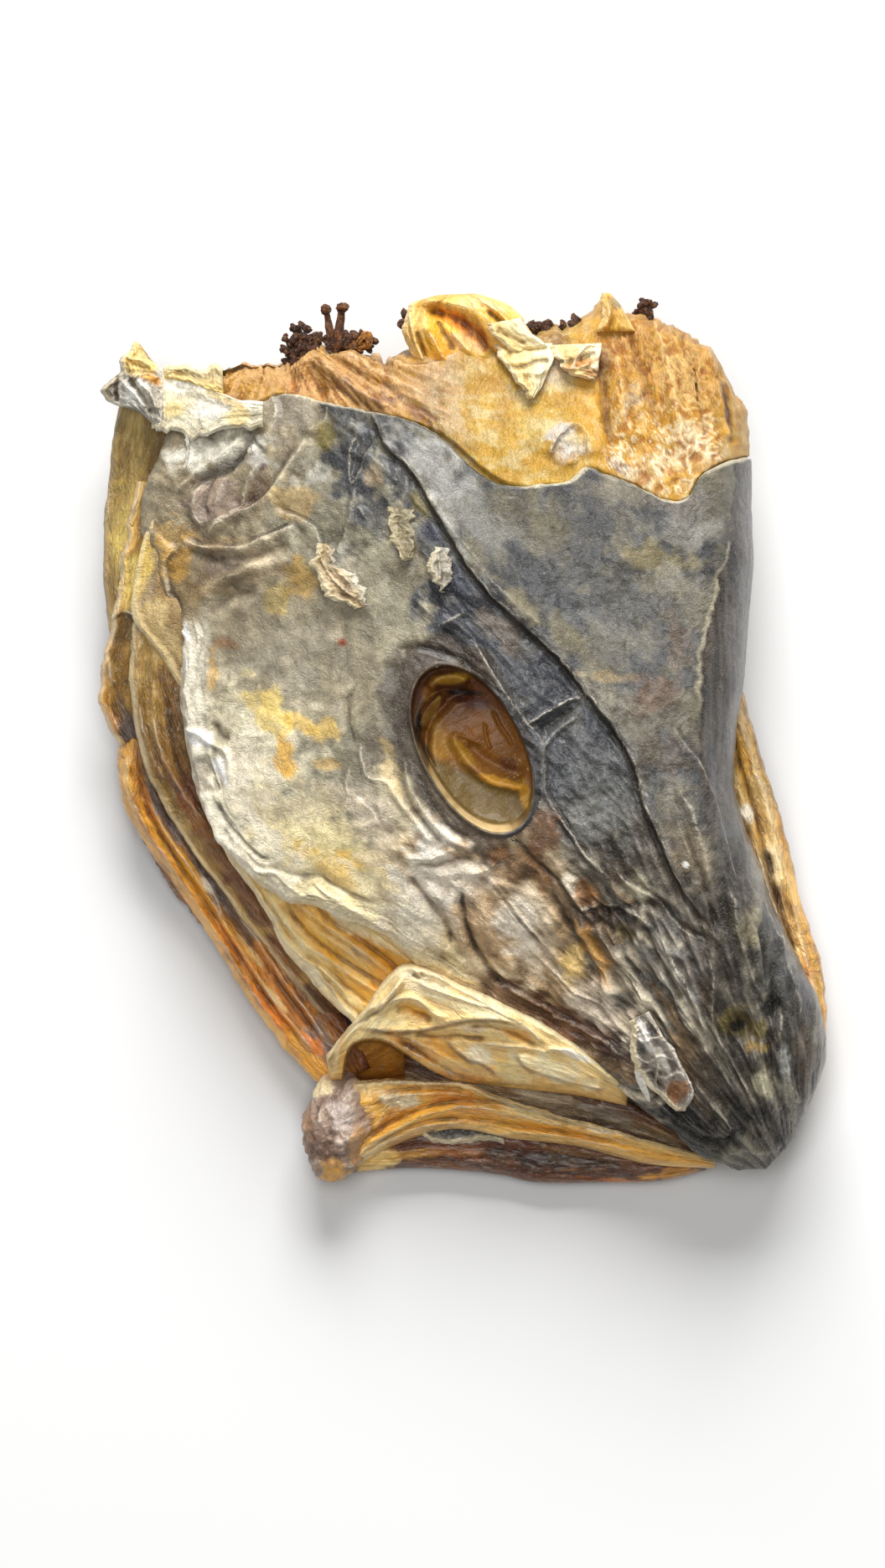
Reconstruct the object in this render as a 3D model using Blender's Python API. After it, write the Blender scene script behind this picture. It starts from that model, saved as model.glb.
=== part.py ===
"""A dried cod head (stockfish head), lying on its left side with its right cheek up.

Frame: +X towards the top of the skull, +Y towards the cut neck, +Z up off the table. The origin is
under the middle of the head, on the table. The snout points down the picture, towards -Y and +X.

The head has dried into one stiff piece, so it is one solid: a skull body, with the gill covers,
throat strips, jaws, lip fold and neck flaps joined to it. Every form is a pillow: two skins between
a left and a right rail that meet in a rounded edge. Lengths below are in millimetres.
"""

import bmesh
import bpy
import numpy as np
from mathutils import Matrix

MM = 0.001

# ---- Driving sizes -----------------------------------------------------------------------------
SKULL_HEIGHT = 60.0  # the flat roof of the skull above the table
MIDLINE_X = 12.0  # left of this line the cheek falls away
CHEEK_FALL = 0.004  # how fast, per millimetre squared
NECK_START_Y = 45.0  # the nape falls away above this line
NECK_FALL = 0.006
MUZZLE_START_Y = -10.0  # the muzzle falls away below this line
MUZZLE_FALL = 0.0042
MUZZLE_SIDE_FALL = 0.007  # from the snout's ridge down to the lip
MUZZLE_SIDE_REACH = 45.0
TIP_Y = -101.0
FLAT_HALF_X = 41.0  # half sizes of the flat spot that the head rests on
FLAT_HALF_Y = 55.0
BELLY_CURVE = 0.006

# The cheek's free edge, the top of the skull and the snout's ridge, as x against y.
CHEEK_EDGE = [
    (96, -55), (84, -64), (70, -71), (55, -76), (40, -73), (28, -67), (15, -67), (0, -65),
    (-12, -62.5), (-22, -58), (-30, -51), (-35, -43), (-38, -33), (-43, -22), (-50, -12),
    (-58, 0), (-66, 15), (-74, 28), (-82, 38), (-90, 47), (-96, 56), (TIP_Y, 64),
]  # fmt: skip
SKULL_EDGE = [
    (96, 62), (84, 66), (70, 67), (55, 67.5), (38, 67.5), (20, 66), (5, 64), (-10, 63.5),
    (-20, 66), (-30, 70), (-42, 75), (-52, 80), (-62, 84.5), (-72, 86), (-80, 84.5),
    (-88, 80.5), (-94, 78), (TIP_Y, 72),
]  # fmt: skip
SNOUT_RIDGE = [(20, 58), (-10, 60), (-50, 64), (-90, 72), (TIP_Y, 72)]

# The torn edge of the neck, as y against x.
NECK_EDGE = [
    (-70, 86), (-60, 88.5), (-50, 89.5), (-43, 90), (-36, 94.5), (-28, 92.5), (-18, 90), (-10, 92),
    (2, 92), (10, 92), (18, 97), (28, 99), (34, 104), (38, 101.5), (46, 98.5), (55, 95), (60, 90),
    (63.5, 85),
]  # fmt: skip

EYE_CENTRE = (2.5, -2.0)
EYE_HALF_LENGTH = 21.0
EYE_HALF_WIDTH = 13.3
EYE_DEPTH = 18.0
EYE_TURN = np.radians(-62.5)  # the socket's long axis, from +X
EYE_RIM = 2.2  # radius of the rounded rim about the socket

BROW_LINE = [(-22, 76), (-10, 60), (0, 45), (15, 28), (30, 10), (40, -6), (48, -28), (62, -42)]
SNOUT_FURROW = [(52, 0), (58, -30), (62, -55), (66, -70)]
NOSTRIL = (66.5, -68.0)
SKIN_EDGE = [
    (-80, 76), (-50, 79), (-30, 79), (-12, 75), (0, 68.5), (10, 61), (20, 60.5), (30, 64.5),
    (46, 57), (55, 62), (70, 68),
]  # fmt: skip
SKIN_STEP = 1.3  # the skin stands this far above the cut flesh


# ---- Curves and fields -------------------------------------------------------------------------
def smooth(t):
    """0 below 0, 1 above 1, and an S-shaped rise between."""
    t = np.clip(t, 0.0, 1.0)
    return t * t * (3.0 - 2.0 * t)


def along(points, count):
    """count points on a smooth curve through the given ones (Catmull-Rom), evenly by parameter."""
    p = np.asarray(points, float)
    p = np.vstack([2 * p[0] - p[1], p, 2 * p[-1] - p[-2]])
    t = np.linspace(0, len(p) - 3, count)
    i = np.minimum(t.astype(int), len(p) - 4)
    f = (t - i)[:, None]
    a, b, c, d = p[i], p[i + 1], p[i + 2], p[i + 3]
    return 0.5 * (
        2 * b + (c - a) * f + (2 * a - 5 * b + 4 * c - d) * f**2 + (3 * b - a - 3 * c + d) * f**3
    )


def reading(table, at):
    """The second value of a table's pairs at each first value, along a smooth curve through them."""
    curve = along(table, 200)
    order = np.argsort(curve[:, 0])
    return np.interp(at, curve[order, 0], curve[order, 1])


def distance(x, y, points):
    """How far each (x, y) is from a smooth path through the points."""
    path = along(points, 60)
    gaps = np.hypot(x[..., None] - path[:, 0], y[..., None] - path[:, 1])
    return gaps.min(axis=-1)


def soft_floor(height, floor):
    """The height, held above the floor, with a soft bend where the two meet."""
    return 0.5 * (height + floor + np.sqrt((height - floor) ** 2 + 9.0))


def quarter_round(gap, radius):
    """The height, 0 to 1, of a rounded edge of that radius at that gap from the edge."""
    t = np.clip(gap / radius, 0.0, 1.0)
    return np.sqrt(1.0 - (1.0 - t) ** 2)


# ---- The head's broad form ---------------------------------------------------------------------
def head_height(x, y):
    """The head's upper surface: a flat skull that falls to the cheek, the neck and the snout."""
    left = np.maximum(0.0, MIDLINE_X - x)
    neck = np.maximum(0.0, y - NECK_START_Y)
    muzzle = np.maximum(0.0, MUZZLE_START_Y - y)
    side = np.clip(reading(SNOUT_RIDGE, y) - x, 0.0, MUZZLE_SIDE_REACH)
    height = SKULL_HEIGHT - CHEEK_FALL * left**2 - NECK_FALL * neck**2 - MUZZLE_FALL * muzzle**2
    height -= MUZZLE_SIDE_FALL * side**2 * smooth(muzzle / 60.0)
    return height


def head_relief(x, y):
    """Brow shelf, eye rim, skin step, snout furrow, nostril and the long folds of the muzzle."""
    brow = distance(x, y, BROW_LINE)
    right_of_brow = x - reading([(py, px) for px, py in BROW_LINE], y)
    relief = 2.2 * smooth(0.5 + right_of_brow / 6.0) * smooth((y + 45.0) / 30.0)
    relief -= 1.8 * np.exp(-((brow / 3.0) ** 2))
    relief -= SKIN_STEP * smooth((y - reading(SKIN_EDGE, x)) / 2.0)
    relief -= 2.0 * np.exp(-((distance(x, y, SNOUT_FURROW) / 4.0) ** 2))
    relief -= 3.5 * np.exp(-(((x - NOSTRIL[0]) ** 2 + (y - NOSTRIL[1]) ** 2) / 20.0))
    across = (x - EYE_CENTRE[0]) * 0.77 + (y - EYE_CENTRE[1]) * 0.64
    folds = np.sin(across / 4.2) * smooth((-22.0 - y) / 15.0) * smooth((52.0 - x) / 15.0)
    return relief + 0.9 * folds


# ---- Meshes ------------------------------------------------------------------------------------
def shell(name, points, faces):
    """One closed object from points in millimetres, with doubled points merged and faces outward."""
    mesh = bpy.data.meshes.new(name)
    mesh.from_pydata((points * MM).tolist(), [], faces.tolist())
    shape = bmesh.new()
    shape.from_mesh(mesh)
    bmesh.ops.remove_doubles(shape, verts=shape.verts, dist=0.05 * MM)
    bmesh.ops.recalc_face_normals(shape, faces=shape.faces)
    shape.to_mesh(mesh)
    shape.free()
    mesh.shade_smooth()
    obj = bpy.data.objects.new(name, mesh)
    bpy.context.scene.collection.objects.link(obj)
    return obj


def closed_pillow(name, upper, lower):
    """One closed mesh from an upper and a lower grid of points that share their border."""
    rows, columns = upper.shape[:2]
    points = np.vstack([upper.reshape(-1, 3), lower.reshape(-1, 3)])
    index = np.arange(rows * columns).reshape(rows, columns)
    a, b, c, d = index[:-1, :-1], index[:-1, 1:], index[1:, 1:], index[1:, :-1]
    top = np.stack([a, d, c, b], axis=-1).reshape(-1, 4)
    return shell(name, points, np.vstack([top, top[:, ::-1] + rows * columns]))


def skull_body(name, columns=28, rows=34):
    """The skull, cheek and snout: rows across the head from the torn neck to the tip of the snout."""
    u = np.linspace(0.0, 1.0, columns + 1)
    u = u - 0.09 * np.sin(2 * np.pi * u) / 1.2  # closer together at the two edges
    v = np.linspace(0.0, 1.0, rows + 1)
    v = v - 0.06 * np.sin(2 * np.pi * v)
    start = reading(NECK_EDGE, -62.0 + 125.5 * u)
    y = start[None, :] * (1 - v[:, None]) + TIP_Y * v[:, None]
    left, right = reading(CHEEK_EDGE, y), reading(SKULL_EDGE, y)
    x = left + (right - left) * u[None, :]
    tip = smooth((-60.0 - y) / 40.0)
    edge_left = 30.0 - 4.0 * smooth((-30.0 - y) / 40.0) - 9.0 * tip
    edge_right = 24.0 - 6.0 * tip
    edge = edge_left + (edge_right - edge_left) * u[None, :]
    height = soft_floor(head_height(x, y), edge + 5.0) + head_relief(x, y)
    neck_gap, tip_gap = start[None, :] - y, y - TIP_Y
    rise = quarter_round(x - left, 6.0) * quarter_round(right - x, 12.0)
    rise = rise * quarter_round(neck_gap, 3.0) * quarter_round(tip_gap, 9.0)
    belly = BELLY_CURVE * (x**2 - FLAT_HALF_X**2 + (FLAT_HALF_X / FLAT_HALF_Y) ** 2 * (y - 5.0) ** 2)
    belly = np.clip(belly, 0.0, edge - 4.0)
    fall = quarter_round(x - left, 26.0) * quarter_round(right - x, 14.0)
    fall = fall * quarter_round(neck_gap, 6.0) * quarter_round(tip_gap, 14.0)
    upper = np.stack([x, y, edge + (height - edge) * rise], axis=-1)
    lower = np.stack([x, y, edge - (edge - belly) * fall], axis=-1)
    return closed_pillow(name, upper, lower)


def ribbon(name, rail_a, rail_b, up, down, ribs=0, rib_depth=0.8, columns=6, rows=12):
    """A leathery strip between two rails: up and down are its half thicknesses, and ribs its folds."""
    u = np.linspace(0.0, 1.0, columns + 1)[None, :, None]
    v = np.linspace(0.0, 1.0, rows + 1)[:, None]
    a, b = along(rail_a, rows + 1)[:, None, :], along(rail_b, rows + 1)[:, None, :]
    middle = a * (1 - u) + b * u
    u = u[..., 0]
    swell = quarter_round(np.minimum(u, 1 - u), 0.3) * quarter_round(np.minimum(v, 1 - v), 0.12)
    fold = rib_depth * np.cos(2 * np.pi * ribs * u) if ribs else 0.0
    upper, lower = middle.copy(), middle.copy()
    upper[..., 2] += swell * (up + fold)
    lower[..., 2] = np.maximum(lower[..., 2] - swell * down, 0.0)
    return closed_pillow(name, upper, lower)


def eye_rim():
    """The rounded rim of skin about the eye socket: a ring that follows the skull's surface."""
    turns, sides = 24, 6
    a = np.linspace(0, 2 * np.pi, turns, endpoint=False)[:, None]
    b = np.linspace(0, 2 * np.pi, sides, endpoint=False)[None, :]
    long = (EYE_HALF_LENGTH + 0.6 + EYE_RIM * np.cos(b)) * np.cos(a)
    wide = (EYE_HALF_WIDTH + 0.6 + EYE_RIM * np.cos(b)) * np.sin(a)
    x = EYE_CENTRE[0] + long * np.cos(EYE_TURN) - wide * np.sin(EYE_TURN)
    y = EYE_CENTRE[1] + long * np.sin(EYE_TURN) + wide * np.cos(EYE_TURN)
    z = head_height(x, y) + head_relief(x, y) - 0.4 + EYE_RIM * np.sin(b)
    index = np.arange(turns * sides).reshape(turns, sides)
    after, beside = np.roll(index, -1, axis=0), np.roll(index, -1, axis=1)
    both = np.roll(after, -1, axis=1)
    faces = np.stack([index, after, both, beside], axis=-1).reshape(-1, 4)
    return shell("eye_rim", np.stack([x, y, z], axis=-1).reshape(-1, 3), faces)


def lump(name, centre, halves, turn=0.0, segments=16, rings=10):
    """An ellipsoid of those half sizes, turned about the vertical."""
    shape = bmesh.new()
    bmesh.ops.create_uvsphere(shape, u_segments=segments, v_segments=rings, radius=1.0)
    place = Matrix.Translation([c * MM for c in centre]) @ Matrix.Rotation(turn, 4, "Z")
    shape.transform(place @ Matrix.Diagonal([h * MM for h in halves] + [1.0]))
    mesh = bpy.data.meshes.new(name)
    shape.to_mesh(mesh)
    shape.free()
    mesh.shade_smooth()
    obj = bpy.data.objects.new(name, mesh)
    bpy.context.scene.collection.objects.link(obj)
    return obj


# ---- The parts that are joined to the skull ----------------------------------------------------
def gill_covers():
    """Three leathery sheets under the cheek's edge, each a little lower and further out."""
    outer = ribbon(
        "gill_cover_outer",
        [(-80.5, 84, 25), (-84, 64, 20), (-85.2, 46, 17), (-84.6, 32, 15), (-82, 18, 14)],
        [(-55, 84, 30), (-55, 64, 27), (-55, 46, 25), (-55, 32, 23), (-55, 18, 21)],
        2.5, 4.0,
    )  # fmt: skip
    middle = ribbon(
        "gill_cover_middle",
        [(-77, 62, 29), (-81, 42, 26), (-83.5, 29, 23), (-85.8, 16, 20), (-86.4, 9, 18), (-82, 0, 16), (-77, -8, 15)],
        [(-50, 62, 33), (-50, 42, 32), (-50, 29, 30), (-50, 16, 28), (-50, 9, 26), (-50, 0, 24), (-50, -8, 22)],
        3.0, 4.5,
    )  # fmt: skip
    inner = ribbon(
        "gill_cover_inner",
        [(-72, 52, 32), (-77, 34, 29), (-78.8, 19, 27), (-77.5, 3, 25), (-73, -11, 22), (-65, -24, 19),
         (-55, -38, 17), (-44, -52, 16), (-33, -66, 15)],
        [(-46, 52, 36), (-46, 34, 35), (-46, 19, 34), (-44, 3, 32), (-40, -11, 29), (-34, -24, 27),
         (-26, -36, 25), (-18, -46, 24), (-12, -56, 22)],
        3.0, 5.0,
    )  # fmt: skip
    return [outer, middle, inner]


def throat():
    """The folded amber skin of the throat, which leaves the gill covers and runs to the jaw."""
    strips = ribbon(
        "throat_strips",
        [(-81, 6, 15), (-82.4, -5, 14), (-80, -16, 12), (-73.5, -27, 10), (-65, -39, 8), (-57, -51, 8),
         (-50, -62, 8), (-42, -73, 9), (-33, -82, 11)],
        [(-68, 8, 20), (-66, -6, 19), (-60, -17, 17), (-52, -28, 15), (-44, -38, 14), (-38, -48, 13),
         (-32, -58, 13), (-26, -68, 14), (-22, -77, 15)],
        4.5, 5.5, ribs=2, columns=10, rows=16,
    )  # fmt: skip
    skirt = ribbon(
        "cheek_skirt",
        [(-60, -15, 31), (-56, -26, 29), (-51, -33, 27), (-46, -41, 26), (-42, -49, 25), (-36, -56, 24),
         (-30, -62.5, 24), (-25, -67.5, 24)],
        [(-42, -10, 37), (-38, -19, 36), (-32, -26, 35), (-26, -32, 34), (-20, -38, 33), (-14, -43, 32),
         (-8, -48, 31), (-5, -54, 30)],
        4.0, 4.5, ribs=2, rib_depth=0.7, columns=8, rows=12,
    )  # fmt: skip
    return [strips, skirt]


def jaws():
    """The lip fold over the mouth corner, the mouth's dark lining, and both lower jaws."""
    lip = ribbon(
        "lip_fold",
        [(-32.5, -74, 21), (-24, -63.5, 29), (-14, -52, 36), (0, -57, 37), (15, -64, 35), (28, -72, 31),
         (39, -81, 25)],
        [(-31.5, -80, 17), (-22, -80.5, 16), (-10, -79.5, 19), (2, -80.5, 20), (14, -82, 20),
         (27, -83.5, 20), (39, -86, 20)],
        7.0, 5.0, columns=8, rows=14,
    )  # fmt: skip
    lining = ribbon(
        "mouth_lining",
        [(-14, -70, 22), (10, -76, 20), (30, -81, 19), (55, -92, 17)],
        [(-14, -86, 13), (10, -89, 13), (30, -93, 13), (56, -99, 13)],
        3.5, 6.0,
    )  # fmt: skip
    near = ribbon(
        "lower_jaw",
        [(-35, -83, 15), (-25, -80, 17), (-13, -79.5, 18), (1, -80.5, 18), (13, -85, 17), (28, -89.5, 16),
         (44, -94, 15), (60, -98.5, 15)],
        [(-35.5, -99, 9), (-30, -102, 9), (-16, -95.5, 10), (-2, -91.5, 12), (12, -94, 11),
         (28, -96, 11), (44, -100, 11), (60, -101, 13)],
        4.5, 5.5, ribs=1, rows=14,
    )  # fmt: skip
    far = ribbon(
        "lower_jaw_far",
        [(-27, -88, 8), (0, -86, 8), (25, -90, 8), (57, -96, 10)],
        [(-28, -102, 5), (-8, -100, 5), (12, -101, 5), (28, -103.5, 5), (44, -105.5, 5), (58, -101.5, 6)],
        4.0, 5.0,
    )  # fmt: skip
    knob = lump("jaw_knob", (-30.0, -90.8, 14), (7.4, 12.8, 9.5), turn=np.radians(-8))
    return [lip, lining, near, far, knob]


def far_cheek():
    """The left cheek and upper jaw, which show past the top of the skull."""
    return ribbon(
        "far_cheek",
        [(50, 16, 26), (50, -5, 24), (52, -25, 22), (58, -45, 19), (64, -62, 16), (70, -80, 14)],
        [(65.5, 15, 22), (71, -3, 18), (76, -18, 15), (80.5, -38, 13), (85.6, -54, 12), (86.4, -70, 12),
         (84, -82, 12)],
        5.0, 6.0, ribs=1,
    )  # fmt: skip


def neck_flaps():
    """The shoulder bone's flap, the nape's folded flap and the dried clumps of gill."""
    collar = ribbon(
        "collar_flap",
        [(-78, 74, 30), (-82, 79, 29), (-84.8, 84, 28), (-81, 90, 28), (-77.5, 95.5, 27)],
        [(-50, 72, 42), (-52, 78, 41), (-56, 84, 39), (-62, 89, 36), (-71, 90.5, 31)],
        2.5, 5.0,
    )  # fmt: skip
    nape = ribbon(
        "nape_flap",
        [(-8, 84, 40), (-12.5, 92, 42), (-14, 100, 42), (-10, 105.5, 39)],
        [(18, 84, 42), (17, 93, 42), (14, 100, 42), (8, 105.5, 39)],
        5.0, 9.0,
    )  # fmt: skip
    clumps = [
        lump("gill_clump_left", (-38, 92.5, 29), (5, 6, 6), segments=10, rings=6),
        lump("gill_clump_middle", (-26, 93, 31), (6, 5, 5), segments=10, rings=6),
        lump("gill_clump_right", (22, 92, 33), (8, 8, 6), segments=10, rings=6),
        lump("gill_clump_far", (43, 100.7, 29), (3.5, 4.8, 5), segments=10, rings=6),
    ]
    return [collar, nape, *clumps]


def helper(obj):
    """Hides a piece that only shapes the head."""
    obj.hide_render = True
    obj.display_type = "WIRE"
    return obj


def dried_skin():
    """Satin grey-brown skin, the head's overall colour."""
    skin = bpy.data.materials.new("dried_skin")
    skin.use_nodes = True
    shader = skin.node_tree.nodes["Principled BSDF"]
    shader.inputs["Base Color"].default_value = (0.34, 0.27, 0.17, 1.0)
    shader.inputs["Roughness"].default_value = 0.5
    return skin


def dried_head():
    """Joins every part to the skull, then hollows out the eye socket and the lip fold's pocket."""
    head = skull_body("dried_cod_head")
    for part in [*gill_covers(), *throat(), *jaws(), far_cheek(), *neck_flaps(), eye_rim()]:
        join = head.modifiers.new("join_" + part.name, "BOOLEAN")
        join.operation = "UNION"
        join.object = helper(part)
    socket_top = SKULL_HEIGHT - 1.0
    eye = lump(
        "eye_socket_cutter",
        (*EYE_CENTRE, socket_top),
        (EYE_HALF_LENGTH, EYE_HALF_WIDTH, EYE_DEPTH),
        turn=EYE_TURN, segments=24, rings=14,
    )  # fmt: skip
    pocket = lump("lip_pocket_cutter", (-20.0, -74.5, 27.0), (8.5, 4.2, 11.0), turn=-0.15)
    for cutter in (eye, pocket):
        cut = head.modifiers.new("cut_" + cutter.name, "BOOLEAN")
        cut.operation = "DIFFERENCE"
        cut.object = helper(cutter)
    head.data.materials.append(dried_skin())
    return head


for old in list(bpy.data.objects):
    bpy.data.objects.remove(old)
dried_head()
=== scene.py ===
"""The looks of a dried cod head that lies on its side, seen from straight above on a white table.

Everything is worked out in millimetres in the CAD model's frame, +X towards the top of the skull and
+Y towards the cut neck, and becomes metres where a mesh is made.
"""

import bpy
import numpy as np
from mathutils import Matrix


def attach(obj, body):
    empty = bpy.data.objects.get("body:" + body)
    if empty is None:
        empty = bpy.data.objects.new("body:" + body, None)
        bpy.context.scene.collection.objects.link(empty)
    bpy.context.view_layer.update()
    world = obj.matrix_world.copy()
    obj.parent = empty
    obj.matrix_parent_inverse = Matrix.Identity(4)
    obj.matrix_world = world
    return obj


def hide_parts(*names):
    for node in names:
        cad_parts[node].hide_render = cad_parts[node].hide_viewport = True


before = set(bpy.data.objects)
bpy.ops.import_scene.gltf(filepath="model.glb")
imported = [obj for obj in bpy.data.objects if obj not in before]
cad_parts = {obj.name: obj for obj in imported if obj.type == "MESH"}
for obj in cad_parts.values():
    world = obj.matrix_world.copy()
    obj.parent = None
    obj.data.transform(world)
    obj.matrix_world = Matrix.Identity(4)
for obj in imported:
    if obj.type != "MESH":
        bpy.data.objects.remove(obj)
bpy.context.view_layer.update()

# ---- The skull's skin ----
# One hide covers the skull roof, cheek, muzzle and snout. It is air-dried fish skin, stretched over
# the bones and creased where the flesh under it shrank. It was cut round the neck with a knife.
MM = 0.001
FAR_OFF = 1e3
TURNS = np.random.default_rng(11).random((256, 256)) * 2 * np.pi
LEAN_A, LEAN_B = np.cos(TURNS), np.sin(TURNS)


def smooth(t):
    """0 below 0, 1 above 1, and an S-shaped rise between."""
    t = np.clip(t, 0, 1)
    return t * t * (3 - 2 * t)


def ripple(a, b, seed=0):
    """Smooth random waves, -1 to 1, about one unit long: a random slope at each whole-numbered
    corner, blended between corners by a quintic curve."""
    i, j = np.floor(a).astype(int), np.floor(b).astype(int)
    s, t = a - i, b - j
    i, j = i + 37 * seed, j + 101 * seed

    def slope(di, dj):
        corner = (i + di) & 255, (j + dj) & 255
        return LEAN_A[corner] * (s - di) + LEAN_B[corner] * (t - dj)

    ease_s = s**3 * (s * (6 * s - 15) + 10)
    ease_t = t**3 * (t * (6 * t - 15) + 10)
    near = slope(0, 0) + ease_s * (slope(1, 0) - slope(0, 0))
    far = slope(0, 1) + ease_s * (slope(1, 1) - slope(0, 1))
    return 1.5 * (near + ease_t * (far - near))


def billow(a, b, seed=0, layers=4):
    """Random waves with finer and finer ones added, each half as high and half as long."""
    return sum(ripple(a * 2**k, b * 2**k, seed + k) / 2**k for k in range(layers))


def creased(a, b, seed=0, layers=3):
    """Random sharp crests, 0 to 1: one minus the size of the waves, layered as billow is."""
    total = sum((1 - np.abs(ripple(a * 2**k, b * 2**k, seed + k))) ** 2 / 2**k for k in range(layers))
    return total / sum(0.5**k for k in range(layers))


def curve(points, count):
    """count points on a smooth curve through the given ones (Catmull-Rom)."""
    p = np.asarray(points, float)
    p = np.vstack([2 * p[0] - p[1], p, 2 * p[-1] - p[-2]])
    t = np.linspace(0, len(p) - 3, count)
    i = np.minimum(t.astype(int), len(p) - 4)
    f = (t - i)[:, None]
    a, b, c, d = p[i], p[i + 1], p[i + 2], p[i + 3]
    return 0.5 * (
        2 * b + (c - a) * f + (2 * a - 5 * b + 4 * c - d) * f**2 + (3 * b - a - 3 * c + d) * f**3
    )


def reading(table, at):
    """The second value of a table's pairs at each first value, along a smooth curve through them."""
    path = curve(table, 400)
    order = np.argsort(path[:, 0])
    return np.interp(at, path[order, 0], path[order, 1])


def beside(x, y, path, reach):
    """Signed distance from a smooth path, positive on its left, and the share of the path passed.
    Points further off than reach get FAR_OFF as their distance."""
    p = curve(path, 16 * len(path))
    step = np.gradient(p, axis=0)
    step /= np.hypot(step[:, 0], step[:, 1])[:, None] + 1e-9
    gap, share = np.full(x.shape, FAR_OFF), np.zeros(x.shape)
    low, high = p.min(axis=0) - reach, p.max(axis=0) + reach
    near = (x > low[0]) & (x < high[0]) & (y > low[1]) & (y < high[1])
    if not near.any():
        return gap, share
    dx, dy = x[near][:, None] - p[:, 0], y[near][:, None] - p[:, 1]
    k = np.argmin(dx**2 + dy**2, axis=1)
    row = np.arange(len(k))
    dx, dy = dx[row, k], dy[row, k]
    side = step[k, 0] * dy - step[k, 1] * dx
    ahead = step[k, 0] * dx + step[k, 1] * dy
    past_end = np.where((k == 0) | (k == len(p) - 1), np.abs(ahead), 0)
    gap[near] = np.where(side >= 0, 1, -1) * np.hypot(side, past_end)
    share[near] = k / (len(p) - 1)
    return gap, share


def no_lines(x):
    """The gap to the nearest pale line (painted highlight), its strength, and the same of the nearest
    dark line (painted shadow): none yet.
    """
    return np.zeros(x.shape + (4,)) + (FAR_OFF, 0, FAR_OFF, 0)


def fold(x, y, lines, height, width, path, kind="bead"):
    """One crease of the hide, of that height and half width: a ridge, a groove where the height is
    below 0, or a lap, which steps up on the path's left and sinks back over a few widths. It fades
    out at both ends. The path is x and y in turn. lines, if given, takes it where it is nearer: a
    pale line on a ridge or a lap's raised edge, painted highlight, and a dark line in a groove or
    beside a lap's step, painted shadow."""
    gap, share = beside(x, y, np.reshape(path, (-1, 2)), 8 * width)
    fade = smooth(share / 0.12) * smooth((1 - share) / 0.12)
    if lines is not None:
        wobbly = gap + 0.35 * billow(x / 3, y / 3, 35, 3)
        marks = [(0, -0.15), (2, 0.5)] if kind == "lap" else [(0 if height > 0 else 2, 0)]
        for column, shift in marks:
            nearer = np.abs(gap) < np.abs(lines[..., column])
            lines[..., column] = np.where(nearer, wobbly + shift, lines[..., column])
            strength = fade * min(1, 0.8 * abs(height)) * smooth((2.4 - np.abs(gap)) / 0.8)
            strength = strength / (0.6 + 0.5 * width**2)
            strength = strength * (0.35 + 0.65 * smooth(0.5 + billow(x / 8, y / 8, 36, 3)))
            lines[..., column + 1] = np.where(nearer, strength, lines[..., column + 1])
    if kind == "lap":
        shape = smooth(0.5 + gap / (0.7 * width)) * np.exp(-np.maximum(gap, 0) / (3 * width))
    else:
        shape = np.exp(-((gap / width) ** 2))
    return height * shape * fade


def blur(field, times):
    """The field with each cell averaged with its neighbours, that many times."""
    for _ in range(times):
        field = np.pad(field, 1, mode="edge")
        field = (field[:-2] + 2 * field[1:-1] + field[2:]) / 4
        field = (field[:, :-2] + 2 * field[:, 1:-1] + field[:, 2:]) / 4
    return field


def dye(r, g, b):
    """A colour as the eye sees it, 0 to 255, as the light-proportional colour of the bare surface."""
    seen = np.array([r, g, b]) / 255
    seen = np.where(seen < 0.04045, seen / 12.92, ((seen + 0.055) / 1.055) ** 2.4)
    richer = seen + 0.3 * np.ptp(seen) / seen.max() * (seen - seen.mean())
    return np.maximum(1.1 * richer - 0.022, 0.3 * seen)


def tint(tone, share, colour):
    """Mixes a colour into the tone by that share at each point."""
    tone += (colour - tone) * np.clip(share, 0, 1)[..., None]


def plain(x, colour):
    """A tone of one colour at every point."""
    return np.zeros(x.shape + (3,)) + colour


def stain(tone, x, y, rows, ragged=0.5, seed=3, amount=1):
    """Mixes colours into the tone over ragged-edged ellipses. A row is red, green and blue, the
    share, the middle's x and y, the half length and width, and the turn in degrees if it has one."""
    uneven = 1.2 * ragged * billow(x / 5, y / 5, seed, 5)
    for red, green, blue, share, middle_x, middle_y, half_long, half_wide, *turn in rows:
        turn = np.radians(turn[0] if turn else 0)
        c, s = np.cos(turn), np.sin(turn)
        dx, dy = x - middle_x, y - middle_y
        gap = np.hypot((c * dx + s * dy) / half_long, (c * dy - s * dx) / half_wide) + uneven
        tint(tone, share * amount * smooth((1.15 - gap) / 0.6), dye(red, green, blue))


def normals(points):
    """Unit normals of a grid of points, by the cross product of its two slopes."""
    across = np.cross(np.gradient(points, axis=0), np.gradient(points, axis=1))
    return across / (np.linalg.norm(across, axis=-1, keepdims=True) + 1e-9)


def border(index):
    """The numbers round a grid's edge, as one closed walk."""
    return np.concatenate([index[0, :-1], index[:-1, -1], index[-1, :0:-1], index[:0:-1, 0]])


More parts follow.
